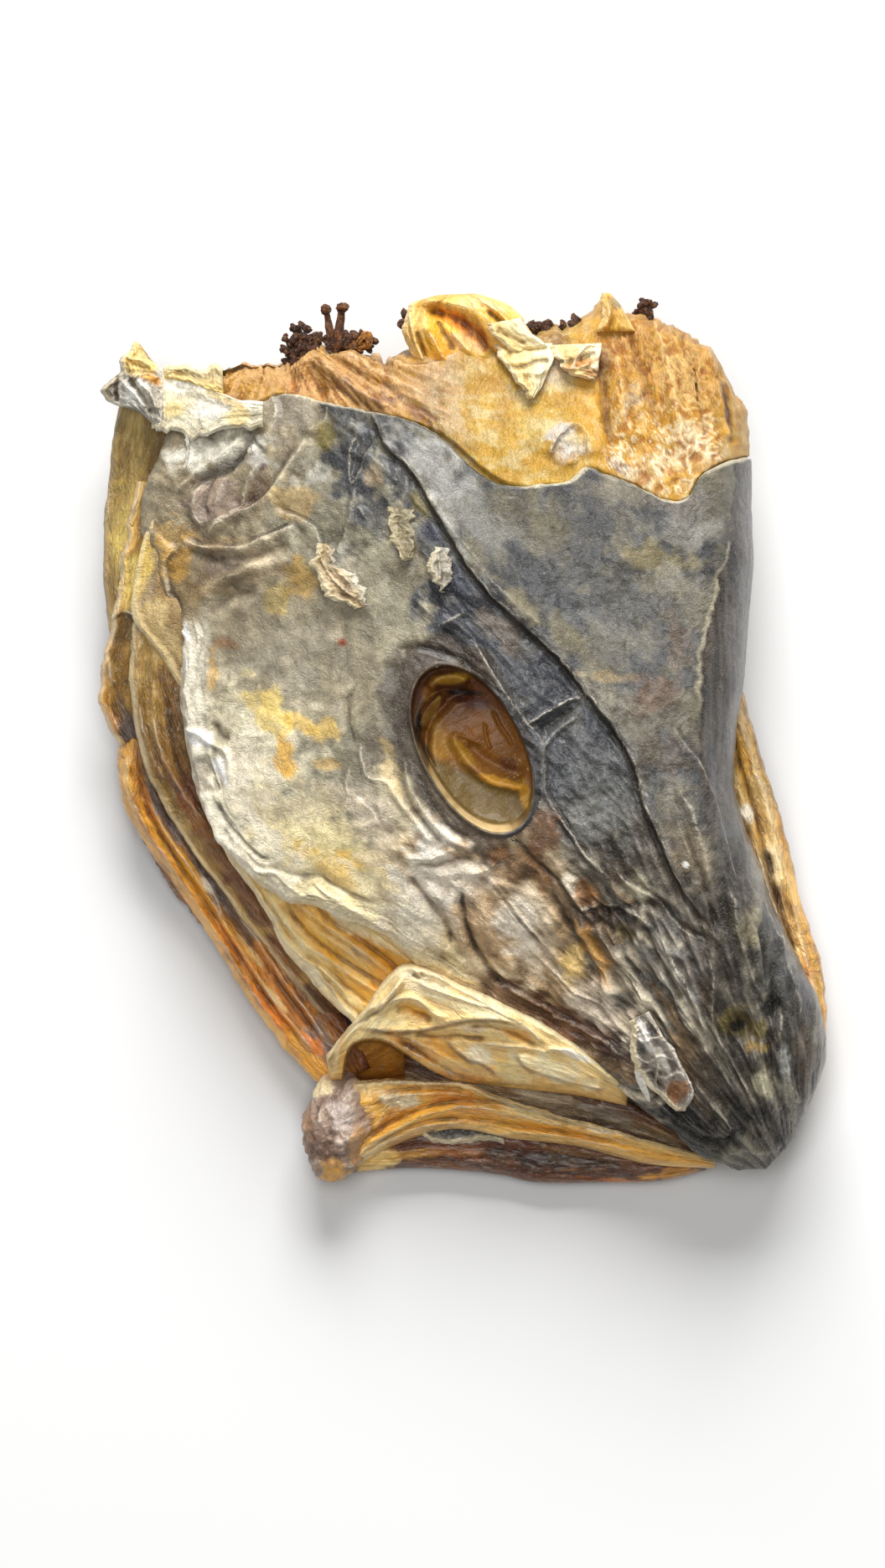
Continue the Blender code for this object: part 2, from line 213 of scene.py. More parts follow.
def surface(grid, tone, under=None, keep=None, loop=False, grain=None, lines=None):
    """The points, faces and colours of a grid. A second grid, taken in coarser cells, closes it from
    below along the shared border, keep drops cells, and loop joins the last column to the first and
    closes each end that shrinks to a point. grain is the place across and along the strands, and
    lines the gaps to drawn lines, both for the finish."""
    rows, cols = grid.shape[:2]
    index = np.arange(rows * cols).reshape(rows, cols)
    ring = np.hstack([index, index[:, :1]]) if loop else index
    quads = np.stack([ring[:-1, :-1], ring[1:, :-1], ring[1:, 1:], ring[:-1, 1:]], axis=-1)
    quads = quads.reshape(-1, 4) if keep is None else quads[keep]
    grain = grid if grain is None else np.dstack([grain, np.zeros((rows, cols))])
    lines = np.zeros((rows, cols, 4)) if lines is None else lines
    points, tones, grains = grid.reshape(-1, 3), tone.reshape(-1, 3), grain.reshape(-1, 3)
    lines = lines.reshape(-1, 4)
    tips = np.empty((0, 3), int)
    if loop and np.ptp(grid[0], axis=0).max() < 1e-9:
        tips = np.stack([0 * index[0], ring[1, :-1], ring[1, 1:]], axis=-1)
        quads = quads[cols:]
    if loop and np.ptp(grid[-1], axis=0).max() < 1e-9:
        last = np.stack([ring[-2, :-1], 0 * index[0] + index[-1, 0], ring[-2, 1:]], axis=-1)
        tips, quads = np.vstack([tips, last]), quads[:-cols]
    if under is not None:
        take = [np.unique(np.linspace(1, n - 2, max(n // 3, 4)).round().astype(int)) for n in (rows, cols)]
        near = [abs(np.arange(n)[:, None] - kept).argmin(axis=1) for n, kept in zip((rows, cols), take)]
        coarse = np.ix_(*take)
        below = rows * cols + np.arange(take[0].size * take[1].size).reshape(len(take[0]), -1)
        back = np.stack([below[:-1, :-1], below[:-1, 1:], below[1:, 1:], below[1:, :-1]], axis=-1)
        quads = np.vstack([quads, back.reshape(-1, 4)])
        rim, foot = border(index), border(below[np.ix_(*near)])
        ahead, step = np.roll(rim, -1), np.roll(foot, -1)
        tips = np.stack([ahead, step, foot], axis=-1)[step != foot]
        tips = np.vstack([np.stack([rim, ahead, foot], axis=-1), tips])
        points = np.vstack([points, under[coarse].reshape(-1, 3)])
        tones = np.vstack([tones, tone[coarse].reshape(-1, 3) * 0.8])
        grains = np.vstack([grains, grain[coarse].reshape(-1, 3)])
        lines = np.vstack([lines, np.zeros((below.size, 4))])
    p, q, r = (points[quads[:, i]] for i in range(3))
    normal = np.cross(q - p, r - p)
    closed = under is not None or len(tips) > cols
    if (np.einsum("ij,ij->", p - points.mean(axis=0), normal) if closed else normal[:, 2].sum()) < 0:
        quads, tips = quads[:, ::-1], tips[:, ::-1]
    return points, quads, tips, tones, grains, lines


BRIGHT, BRIGHT_ROOM = 0.6, 0.38


def join(name, finish, *surfaces):
    """One piece from one or more surfaces, riding on the head and wearing that finish. Its tones are
    brightened towards the snout as painted light, for the slopes there that face away from the key
    light; dark ones are deepened, and one above BRIGHT keeps its hue."""
    starts = np.cumsum([0] + [len(each[0]) for each in surfaces])
    quads = np.vstack([each[1] + start for each, start in zip(surfaces, starts)])
    tips = np.vstack([each[2] + start for each, start in zip(surfaces, starts)])
    points, tones, grains, lines = (np.vstack([each[i] for each in surfaces]) for i in (0, 3, 4, 5))
    used, corners = np.unique(np.concatenate([quads.ravel(), tips.ravel()]), return_inverse=True)
    starts = np.concatenate([np.arange(0, quads.size, 4), quads.size + np.arange(0, tips.size, 3)])
    mesh = bpy.data.meshes.new(name)
    mesh.vertices.add(len(used))
    mesh.vertices.foreach_set("co", (points[used] * MM).astype(np.float32).ravel())
    mesh.loops.add(len(corners))
    mesh.loops.foreach_set("vertex_index", corners.astype(np.int32))
    mesh.polygons.add(len(starts))
    mesh.polygons.foreach_set("loop_start", starts.astype(np.int32))
    mesh.update(calc_edges=True)
    mesh.shade_smooth()
    colours = mesh.attributes.new("tone", "FLOAT_COLOR", "POINT")
    y = points[used, 1:2]
    # tones are lifted towards the snout as painted light, for the lower slopes that the key light reaches
    # less
    painted_light_gain = 1 + 0.5 * smooth((-4 - y) / 34) + 0.25 * smooth((-56 - y) / 18)
    shown = np.maximum(tones[used] * painted_light_gain, 0)
    shown = shown * (np.maximum(shown.max(axis=1, keepdims=True), 0.01) / BRIGHT) ** 0.12
    brightest = shown.max(axis=1, keepdims=True)
    held = BRIGHT + BRIGHT_ROOM * np.tanh((brightest - BRIGHT) / BRIGHT_ROOM)
    shown *= np.where(brightest > BRIGHT, held / np.maximum(brightest, BRIGHT), 1)
    rgba = np.hstack([shown, np.ones((len(used), 1))])
    colours.data.foreach_set("color", rgba.astype(np.float32).ravel())
    # the folds' pale lines (painted highlight) and dark lines (painted shadow), for the finish
    fold_highlight_lines, fold_shadow_lines = lines[:, [0, 1, 1]], lines[:, [2, 3, 3]]
    for label, columns in (("grain", grains), ("fold_highlight_lines", fold_highlight_lines), ("fold_shadow_lines", fold_shadow_lines)):
        places = mesh.attributes.new(label, "FLOAT_VECTOR", "POINT")
        places.data.foreach_set("vector", columns[used].astype(np.float32).ravel())
    mesh.materials.append(finish.material)
    piece = bpy.data.objects.new(name, mesh)
    bpy.context.scene.collection.objects.link(piece)
    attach(piece, "root")
    return piece


def operator(operation, reflected=False):
    """A sum, product or the like of Values and numbers, worked out by a Math node."""

    def apply(self, *others):
        inputs = dict(enumerate([*others, self] if reflected else [self, *others]))
        return self.finish.node("ShaderNodeMath", {"operation": operation}, inputs)

    return apply


class Value:
    """A number that changes over a surface: a node's socket, on which sums and products make nodes."""

    __add__ = __radd__ = operator("ADD")
    __sub__, __rsub__ = operator("SUBTRACT"), operator("SUBTRACT", reflected=True)
    __mul__ = __rmul__ = operator("MULTIPLY")
    __abs__ = operator("ABSOLUTE")

    def __init__(self, finish, socket):
        self.finish, self.socket = finish, socket

    def between(self, low, high):
        """0 at low, 1 at high, and a smooth rise between."""
        settings = {"interpolation_type": "SMOOTHSTEP"}
        inputs = {"Value": self, "From Min": low, "From Max": high}
        return self.finish.node("ShaderNodeMapRange", settings, inputs)


class Finish:
    """A material of Blender's nodes, built by expressions on Values."""

    def __init__(self, name, **constants):
        self.material = bpy.data.materials.new(name)
        self.material.use_nodes = True
        self.tree = self.material.node_tree
        self.shader = self.tree.nodes["Principled BSDF"]
        for socket, value in constants.items():
            self.shader.inputs[socket.replace("_", " ")].default_value = value

    def node(self, kind, settings, inputs, out=0):
        """Adds a node, sets its settings, then its sockets, and gives the named output."""
        made = self.tree.nodes.new(kind)
        for key, value in settings.items():
            setattr(made, key, value)
        for key, value in inputs.items():
            if isinstance(value, Value):
                self.tree.links.new(value.socket, made.inputs[key])
            else:
                made.inputs[key].default_value = value
        return Value(self, made.outputs[out])

    def noise(self, where, scale, detail=3, roughness=0.55, distortion=0):
        inputs = {"Vector": where, "Scale": scale, "Detail": detail, "Roughness": roughness}
        return self.node("ShaderNodeTexNoise", {}, inputs | {"Distortion": distortion})

    def mix(self, share, a, b, blend="MIX"):
        settings = {"data_type": "RGBA", "blend_type": blend}
        return self.node("ShaderNodeMix", settings, {0: share, 6: a, 7: b}, out=2)

    def line(self, label, inner, outer):
        """A line drawn where the surface's gap to it is small, 1 up to inner and 0 from outer on."""
        marks = self.node("ShaderNodeAttribute", {"attribute_name": label}, {}, out="Vector")
        gap = self.node("ShaderNodeSeparateXYZ", {}, {0: marks}, out=0)
        strength = self.node("ShaderNodeSeparateXYZ", {}, {0: marks}, out=1)
        return (1 - abs(gap).between(inner, outer)) * strength

    def feed(self, socket, value):
        self.tree.links.new(value.socket, self.shader.inputs[socket])


def hide_finish(name, flecks=0.5, hairs=0.5, wrinkle=0.5, bump=0.6, rough=0.5, along=1, **constants):
    """Dried skin or flesh: the painted tone with fine flecks, pores, pale fibres and dark creases,
    which also lift its surface; the creases' darkening is painted shade. They run every way, or along
    the strands where along is under 1. The folds' pale lines are drawn on as painted highlight and
    their dark lines as painted shadow."""
    finish = Finish(name, IOR=1.45, **constants)
    where = finish.node("ShaderNodeAttribute", {"attribute_name": "grain"}, {}, out="Vector")
    where = finish.node("ShaderNodeMapping", {}, {"Vector": where, "Scale": (1, along, 1)})
    tone = finish.node("ShaderNodeAttribute", {"attribute_name": "tone"}, {}, out="Color")
    fine = finish.noise(where, 2.4, 3, 0.7)
    grain = finish.noise(where, 0.95, 4, 0.65, 0.4)
    blotch = finish.noise(where, 0.26, 5, 0.65, 0.8)
    lines_a = 1 - abs(finish.noise(where, 0.55, 2, 0.5, 2.4) - 0.5).between(0, 0.05)
    lines_b = 1 - abs(finish.noise(where, 1.1, 2, 0.5, 1.6) - 0.48).between(0, 0.06)
    hair = lines_a * grain.between(0.5, 0.57) + lines_b * 0.8 * (1 - grain).between(0.5, 0.57)
    hair = hair.between(0, 1.2)
    crease_a = abs(finish.noise(where, 0.2, 3, 0.55, 1.6) - 0.5).between(0, 0.05)
    crease_b = abs(finish.noise(where, 0.48, 3, 0.55, 1.2) - 0.5).between(0, 0.07)
    crease = crease_a * 0.6 + crease_b * 0.4
    # the crease lines darken the tone as painted shade
    shade = (grain - 0.5) * (2.6 * flecks) + (blotch - 0.5) * (2.2 * flecks)
    shade = shade + (crease - 1) * (0.6 * wrinkle) + 1.04
    grey = finish.node("ShaderNodeCombineColor", {}, dict.fromkeys(("Red", "Green", "Blue"), shade))
    shaded = finish.mix(1, tone, grey, "MULTIPLY")
    pale = finish.mix(0.4, tone, (0.86, 0.80, 0.66, 1))
    flecked = finish.mix(fine.between(0.56, 0.7) * (0.8 * flecks), shaded, pale)
    pored = finish.mix(fine.between(0.44, 0.3) * (0.6 * flecks), flecked, (0.03, 0.02, 0.012, 1))
    haired = finish.mix(hair * hairs, pored, pale)
    # the folds' pale lines are painted highlight, their dark lines painted shadow
    thin, fold_shadow = finish.line("fold_highlight_lines", 0.1, 0.4), finish.line("fold_shadow_lines", 0.15, 0.7)
    fold_shadowed = finish.mix(fold_shadow * 0.8, haired, (0.022, 0.016, 0.012, 1))
    edged = finish.mix(thin * grain.between(0.4, 0.55) * 0.75, fold_shadowed, (0.72, 0.64, 0.5, 1))
    finish.feed("Base Color", edged)
    finish.feed("Roughness", (grain - 0.5) * 0.5 + (blotch - 0.5) * 0.6 + rough)
    lift = fine * 0.35 + grain * 0.5 + blotch * 0.9 + hair * 0.35 + crease * wrinkle + thin * 0.5
    heights = {"Height": lift - fold_shadow * 0.6, "Strength": bump, "Distance": 0.0007}
    finish.feed("Normal", finish.node("ShaderNodeBump", {}, heights, out="Normal"))
    return finish


# The head's broad form, as the solid has it.
SKULL_HEIGHT, MIDLINE_X, CHEEK_FALL = 60, 12, 0.004
NECK_START_Y, NECK_FALL = 45, 0.006
MUZZLE_START_Y, MUZZLE_FALL, MUZZLE_SIDE_FALL, MUZZLE_SIDE_REACH = -10, 0.0042, 0.007, 45
LEFT_ROUND, RIGHT_ROUND, TIP_ROUND = 6, 12, 9
TIP_Y, FLAT_HALF_X, FLAT_HALF_Y, BELLY_CURVE = -101, 41, 55, 0.006
CHEEK_EDGE = [
    (96, -55), (84, -64), (70, -71), (55, -76), (40, -73), (28, -67), (15, -67), (0, -65),
    (-12, -62.5), (-22, -58), (-30, -51), (-35, -43), (-38, -33), (-43, -22), (-50, -12),
    (-58, 0), (-66, 15), (-74, 28), (-82, 38), (-90, 47), (-96, 56), (TIP_Y, 64),
]
SKULL_EDGE = [
    (96, 62), (84, 66), (70, 67), (55, 67.5), (38, 67.5), (20, 66), (5, 64), (-10, 63.5),
    (-20, 66), (-30, 70), (-42, 75), (-52, 80), (-62, 84.5), (-72, 86), (-80, 84.5),
    (-88, 80.5), (-94, 78), (TIP_Y, 72),
]
NECK_EDGE = [
    (-70, 86), (-60, 88.5), (-50, 89.5), (-43, 90), (-36, 94.5), (-28, 92.5), (-18, 90), (-10, 92),
    (2, 92), (10, 92), (18, 97), (28, 99), (34, 104), (38, 101.5), (46, 98.5), (55, 95), (60, 90),
    (63.5, 85),
]
SNOUT_RIDGE = [(20, 58), (-10, 60), (-50, 64), (-90, 72), (TIP_Y, 72)]
EYE_CENTRE, EYE_HALF_LENGTH, EYE_HALF_WIDTH, EYE_TURN = (2.5, -2), 21, 13.3, np.radians(-62.5)
SKIN_CUT = [
    (-72, 78), (-60, 79), (-50, 80.5), (-43, 83), (-35, 81), (-30, 79.5), (-20, 77.5), (-12, 75.5),
    (-5, 72.5), (0, 68.5), (5, 64), (10, 61), (15, 60), (20, 60.5), (25, 61), (28, 63), (30, 64.5),
    (35, 62.5), (40, 60.5), (44, 58.5), (47, 57), (52, 57), (55, 62), (60, 65.5), (66, 67.5), (70, 68),
]
BROW = [
    (-24, 80), (-21.5, 77), (-19.6, 73.8), (-17.8, 69.6), (-15.6, 67.3), (-13.4, 65.2), (-10, 61.2),
    (-7.6, 56.4), (-4.6, 51.6), (-1.4, 46), (2, 40.4), (8, 33.2), (14, 27.6), (20, 22.2), (24.8, 17),
    (29, 11.4), (34.4, 4.6), (37.4, 0), (40.2, -6), (42.5, -15), (45, -20), (48, -27), (51, -33),
    (55, -39), (59, -44),
]


def quarter_round(gap, radius):
    """The height, 0 to 1, of a rounded edge of that radius at that gap from the edge."""
    t = np.clip(gap / radius, 0, 1)
    return np.sqrt(1 - (1 - t) ** 2)


def head_height(x, y):
    """The head's upper surface: a flat skull that falls to the cheek, the neck and the snout."""
    left = np.maximum(0, MIDLINE_X - x)
    neck = np.maximum(0, y - NECK_START_Y)
    muzzle = np.maximum(0, MUZZLE_START_Y - y)
    side = np.clip(reading(SNOUT_RIDGE, y) - x, 0, MUZZLE_SIDE_REACH)
    height = SKULL_HEIGHT - CHEEK_FALL * left**2 - NECK_FALL * neck**2 - MUZZLE_FALL * muzzle**2
    return height - MUZZLE_SIDE_FALL * side**2 * smooth(muzzle / 60)


def soft_floor(height, floor):
    """The height, held above the floor, with a soft bend where the two meet."""
    return 0.5 * (height + floor + np.sqrt((height - floor) ** 2 + 9))


def rim_height(x, y, left, right):
    """The height of the head's outermost line above the table, at each point across it."""
    tip = smooth((-60 - y) / 40)
    edge_left = 30 - 4 * smooth((-30 - y) / 40) - 9 * tip
    edge_right = 24 - 6 * tip
    return edge_left + (edge_right - edge_left) * (x - left) / np.maximum(right - left, 1)


def side_rise(x, left, right):
    """How far the skin has risen from the rim at the head's two sides, 0 to 1."""
    return quarter_round(x - left, LEFT_ROUND) * quarter_round(right - x, RIGHT_ROUND)


def raised(x, y, edge, rise):
    """The height between the rim's edge and the head's upper surface, by that share."""
    return edge + (soft_floor(head_height(x, y), edge + 5) - edge) * rise


def roll(count, radius):
    """Gaps from an edge, closer together where a rounded edge of that radius is steep."""
    return radius * (1 - np.cos(np.linspace(0, np.pi / 2, count, endpoint=False)))


def head_grid(start, across, down, rolls):
    """x and y over the head, from the line start(x) to the snout's tip, in even cells that crowd
    towards the rounded edges. rolls are the cells and radii of the left, right and tip edges."""
    (n_left, r_left), (n_right, r_right), (n_tip, r_tip) = rolls
    in_left, in_right = roll(n_left, r_left), roll(n_right, r_right)[::-1]
    middle = np.linspace(-67.5 + r_left, 67 - r_right, across)
    top = start(np.concatenate([-67.5 + in_left, middle, 67 - in_right]))
    y = top + (TIP_Y + r_tip - top) * np.linspace(0, 1, down)[:, None]
    tail = TIP_Y + roll(n_tip, r_tip)[::-1]
    y = np.vstack([y, np.repeat(tail[:, None], y.shape[1], axis=1)])
    left, right = reading(CHEEK_EDGE, y), reading(SKULL_EDGE, y)
    r_left, r_right = np.minimum(r_left, 0.3 * (right - left)), np.minimum(r_right, 0.5 * (right - left))
    share = np.concatenate([np.zeros(n_left), np.linspace(0, 1, across), np.ones(n_right)])
    x = left + r_left + (right - left - r_left - r_right) * share
    x[:, :n_left] = left[:, :n_left] + r_left[:, :n_left] * roll(n_left, 1)
    x[:, -n_right:] = right[:, -n_right:] - r_right[:, -n_right:] * roll(n_right, 1)[::-1]
    return x, y, left, right


def skin_cut(x):
    """The knife's line round the neck, with a slight tremble."""
    return reading(SKIN_CUT, x) + 0.25 * ripple(x / 2.3, x * 0, 5)


FOLDS = [
    # brow, from the neck to the snout: the roof's skin laps over the brow's
    (1.5, 0.8, BROW, "lap"),
    (-0.7, 0.8, [(px - 0.9, py - 0.7) for px, py in BROW]),
    (0.7, 1.3, [-8, 60, -3, 51, 2, 45, 7, 38, 13, 32, 20, 26]),
    # struts of skin between brow and socket
    (1, 0.6, [14.5, 4.2, 20, 7.4, 25, 10.2, 28, 10.6]), (1, 0.6, [18.5, -1.5, 22, 2.8, 26.5, 6]),
    (-0.9, 1.3, [18, 3, 22, 5.6, 26, 7.8]),
    (1.1, 1, [37, -34, 31, -28, 28, -25, 24, -19, 20, -13, 19.3, -8, 18.8, 0, 15, 5, 10, 12, 5, 20, 1, 27],
        "lap"),
    (-1, 0.9, [12, -22, 16, -27, 20, -30.5, 23, -33, 26, -38, 28, -43]),
    (-1.2, 1.1, [17, -11, 20, -15, 23, -19.5, 27, -25, 31, -29.5, 37, -34]),
    (0.6, 0.7, [-6, 27, -2, 29.5, 0.5, 30.5]), (-0.8, 1.6, [-5, 27, -2, 24, 2, 17, 6, 12]),
    (-0.9, 1.1, [-16, 22, -11, 22.5, -6, 21.5, -1, 19.5, 3, 16]),
    # snout: long creases that run to its tip
    (-1.5, 1.4, [29, -39.5, 35, -39, 40, -38, 44, -37.5, 48, -40, 52, -44, 58, -46.5]),
    (1.1, 1.1, [58, -46.5, 52, -44, 48, -40, 45, -36, 40, -33, 36, -30], "lap"),
    (-1.4, 1.6, [31, -41, 34, -43.5, 38, -44.5, 41, -46]),
    (1, 0.8, [32, -38, 38, -38.7, 42, -40.5, 45, -43]),
    (1, 0.6, [43.5, -37, 46, -43, 49, -50, 53, -57, 56, -64, 57.5, -69]),
    (-0.9, 0.8, [42, -42, 45, -48, 48, -54, 52, -61]),
    (0.8, 0.7, [31.5, -42, 33, -46, 37, -51, 41, -57, 44, -64]),
    (-0.7, 0.8, [34, -46, 38, -50, 42, -56, 46, -63]),
    (0.8, 0.6, [57.5, -50, 59, -55, 58.6, -62, 59.7, -68, 63, -74, 67, -81, 71, -88]),
    (-0.8, 1, [62, -71, 66, -78, 70, -85, 74, -91]),
    (-1.2, 2.3, [58.5, 22, 57.5, 8, 58.5, -6, 60.5, -17, 62.5, -28, 65, -38]),
    (0.8, 0.8, [65, -33, 62, -27, 60, -20, 57, -12, 54, -4, 51, 1, 49, 4.5], "lap"),
    (0.6, 0.8, [50, -10, 53, -16, 56, -24, 58, -33]), (-0.8, 0.9, [45, -21, 48, -29, 52, -37, 57, -43]),
    (-0.6, 0.8, [52, -20, 55, -29, 58, -38, 60, -46]), (0.7, 0.8, [62, -33, 64, -42, 67, -52, 70, -60]),
    (-0.7, 0.9, [66, -36, 70, -46, 73, -56, 74, -64]), (0.7, 0.7, [70, -36, 74, -46, 78, -56, 80.5, -66]),
    (0.9, 1.2, [75, -62, 74.5, -70, 76, -78, 79, -85]), (-0.9, 1, [73, -66, 72, -74, 74, -82, 77, -88]),
    (0.6, 0.6, [54, -79, 58, -83, 62, -88, 64, -92]), (-0.6, 0.8, [57, -78, 61, -83, 66, -87.5, 70, -90]),
    (0.8, 1.2, [61, -97, 66, -96, 72, -97, 76, -94]), (-1, 0.8, [59, -93, 63, -93.5, 64, -90]),
    # muzzle: bundles of shrunken flesh under thin skin
    (1.1, 1, [18.5, -48, 13, -41.5, 9, -36.5, 6, -32], "lap"),
    (0.7, 0.5, [5.5, -31, 9.5, -35.5, 14, -41, 19, -46.5]),
    (-1.4, 1.1, [-13, -31, -10, -35, -6.5, -39, -4, -43, -2, -48]),
    (0.9, 1.3, [-8, -33, -4, -38, -1, -43, 1, -49]),
    (-1.2, 0.9, [-0.5, -33, 0.3, -40, 2, -46.5, 5, -51.5, 8.5, -56, 12, -58]),
    (0.8, 1.5, [4, -36, 6, -43, 9, -49, 13, -54]),
    (1.8, 1.7, [39, -74, 34, -70, 28, -66.5, 20, -62, 12, -57.5, 6, -56], "lap"),
    (-1.4, 1.6, [8, -58, 16, -62, 24, -66.5, 31, -71, 38, -77]),
    (0.9, 1, [-15, -26, -9, -26.8, -5, -26, -1.5, -24.3]), (0.9, 1.1, [-8, -31, 0, -30.5, 4, -30, 8, -28]),
    (-0.7, 0.9, [-12, -28.5, -6, -28.5, -1, -27.5, 3, -27]),
    (0.6, 0.45, [17, -49.5, 22, -53.5, 27, -58, 33, -62, 38, -67]),
    (-1.2, 1.2, [20, -34, 23, -40, 27, -46.5, 30, -52, 33, -57.5]),
    (1.1, 1.6, [27, -42, 30, -48, 33.5, -54, 35, -60]), (0.8, 0.6, [24, -32, 26, -36, 28.5, -39, 31.5, -38]),
    (-0.7, 0.9, [27, -32, 29.5, -35, 31, -38]),
    (0.9, 0.8, [-14, -3, -12.5, -10, -8.5, -16.5, -3, -22, 3, -25]),
    (0.8, 0.9, [-18, -10, -14.5, -14, -10.5, -18.5, -7, -24]),
    (-0.8, 0.9, [-15.5, -7, -12.5, -14.5, -8, -20, -4, -24]),
    (-0.7, 1.2, [-10.5, -7, -8.5, -13, -4, -19, 2, -23]),
    (0.7, 0.5, [-24.5, 1, -23.5, -5, -22, -8.3, -18, -9.2, -15.5, -12, -12.5, -17]),
    (0.6, 0.5, [-26.5, -5, -27.3, -9, -27, -12, -28, -17, -29, -22]),
    (0.5, 0.7, [-19, -20, -21, -16, -24, -13, -26, -12], "lap"),
    (-0.6, 0.8, [-25.5, -1, -26.5, 4, -27, 9, -25, 14]),
    # cheek plate: its crinkled rim and a few dents
    (0.9, 0.7, [-66, 27, -64.3, 25, -63.6, 20, -64, 14, -65, 10]),
    (1.3, 0.7, [-65, 3.5, -62.5, 3, -59, 0, -56, -1.5, -54.7, -5, -54.5, -10]),
    (-1.5, 1.8, [-61.5, -3, -59.5, -7, -58, -12]), (-0.9, 1.3, [-59, 5, -57, 1.5, -55, 1]),
    (0.8, 0.9, [-62, -10, -58.5, -16, -56, -22, -51, -28]),
    (1, 0.9, [-51, -31, -44, -34.8, -38, -35, -33, -35.5, -27, -39.8, -20, -45]),
    (-0.7, 1.2, [-48, -28, -40, -31, -33, -31.5, -28, -34, -22, -39]),
    (-0.9, 0.5, [-34, -31.5, -27.5, -35, -21, -37.5]),
    (0.9, 0.4, [-35, -33, -29, -36.4, -22, -40.4, -16, -44]),
    (0.8, 0.4, [-60, -13, -57, -20, -52.6, -25, -48, -29, -43, -31]),
    (-0.7, 0.5, [-58, -13, -54.6, -20, -50, -25, -45, -28]),
    # upper cheek: slack skin in folds below the collar
    (0.7, 0.8, [-34, 44, -33.6, 48, -34.8, 50.8, -38, 52.8, -41.4, 54, -44.4, 55.6], "lap"),
    (1.5, 1.1, [-37.3, 73, -37.8, 69.6, -41, 64.9, -43.2, 61, -46, 57.8, -49.6, 55.4, -53, 54.2, -58, 51, -61,
        48]),
    (-1.1, 1.2, [-40, 70, -43.6, 63.6, -46.6, 59.4, -50.6, 56.8, -55, 55.6]),
    (0.9, 0.6, [-47.5, 66, -49.3, 64, -51, 59.7, -52.7, 55.8, -56.2, 53.2, -58.8, 51.9]),
    (-1.6, 1, [-50, 73, -51.6, 69, -55, 65, -59.6, 62.6, -64, 59.6]),
    (1.3, 1, [-51, 72, -55, 68.6, -60, 65.4, -64.6, 61.6, -68, 59]),
    (1, 0.8, [-61, 62, -62.6, 58, -63, 54, -61, 51]), (0.8, 0.7, [-56, 63, -57.4, 59, -58.4, 56]),
    (-0.9, 0.8, [-58.6, 64, -60, 60, -60.8, 56, -59.6, 53]),
    (1.9, 1.1, [-38.9, 51.4, -42.3, 50.2, -48.4, 47.6, -52.7, 46.3, -58.8, 46.5, -62.3, 46.9, -66.6, 48.6],
        "lap"),
    (-1.4, 1.9, [-40, 48, -46, 45, -53, 43.4, -60, 43.8, -66, 46]),
    (1, 1.6, [-44, 44, -51, 40.6, -57, 38.6, -63, 34]), (-1, 1.6, [-48, 36, -55, 34.6, -61, 30]),
    (0.8, 0.8, [-45.4, 83, -44, 79, -44.6, 75, -47, 71]), (-0.8, 0.7, [-50.5, 74, -49, 71, -46, 68]),
    (1.2, 1.2, [-66, 30, -69, 36, -70, 42, -67, 47], "lap"), (0.7, 0.8, [-31.4, 79, -33, 75.6, -37, 73]),
    (0.6, 0.7, [-24, 74, -26.6, 66, -25.6, 58, -22, 52]),
    (0.7, 1, [-20, 72, -25, 62, -27, 52, -30, 44], "lap"),
]
PITS = (((66, -67), 3.4, -3), ((73.5, -63), 2.6, -1.6), ((70, -92.5), 4, -1.6), ((71.5, -81), 3.2, 1.4))


def from_snout(x, y):
    """The distance from a point just past the snout's tip, and the way round it, both as lengths."""
    return np.hypot(x - 78, y + 108), np.arctan2(y + 108, 80 - x) * 70


def past_brow(x, y):
    """How far each point lies to the right of the brow's line."""
    return x - reading([(py, px) for px, py in BROW], y)


def zones(x, y):
    """How far each point belongs to the roof, the muzzle, the snout, the cheek and the dark strip
    under the brow, 0 to 1 each, and the distance from the brow's line."""
    brow_gap = 0.75 * past_brow(x, y)
    reach = 8.5 + 10.5 * smooth((42 - y) / 12)
    strip = smooth((brow_gap + reach + 0.8 * billow(x / 5, y / 5, 39, 4)) / 2.5)
    roof = smooth(0.5 + brow_gap / 4) * smooth((y + 45) / 30)
    muzzle = smooth((-12 - y - 0.35 * x) / 16) * smooth((2 - brow_gap) / 10) * smooth((x + 24) / 14)
    snout = smooth((4 - y) / 30) * smooth((x - 18) / 14)
    cheek = smooth((-8 - x) / 16) * (1 - muzzle)
    return roof, muzzle, snout, cheek, strip, brow_gap


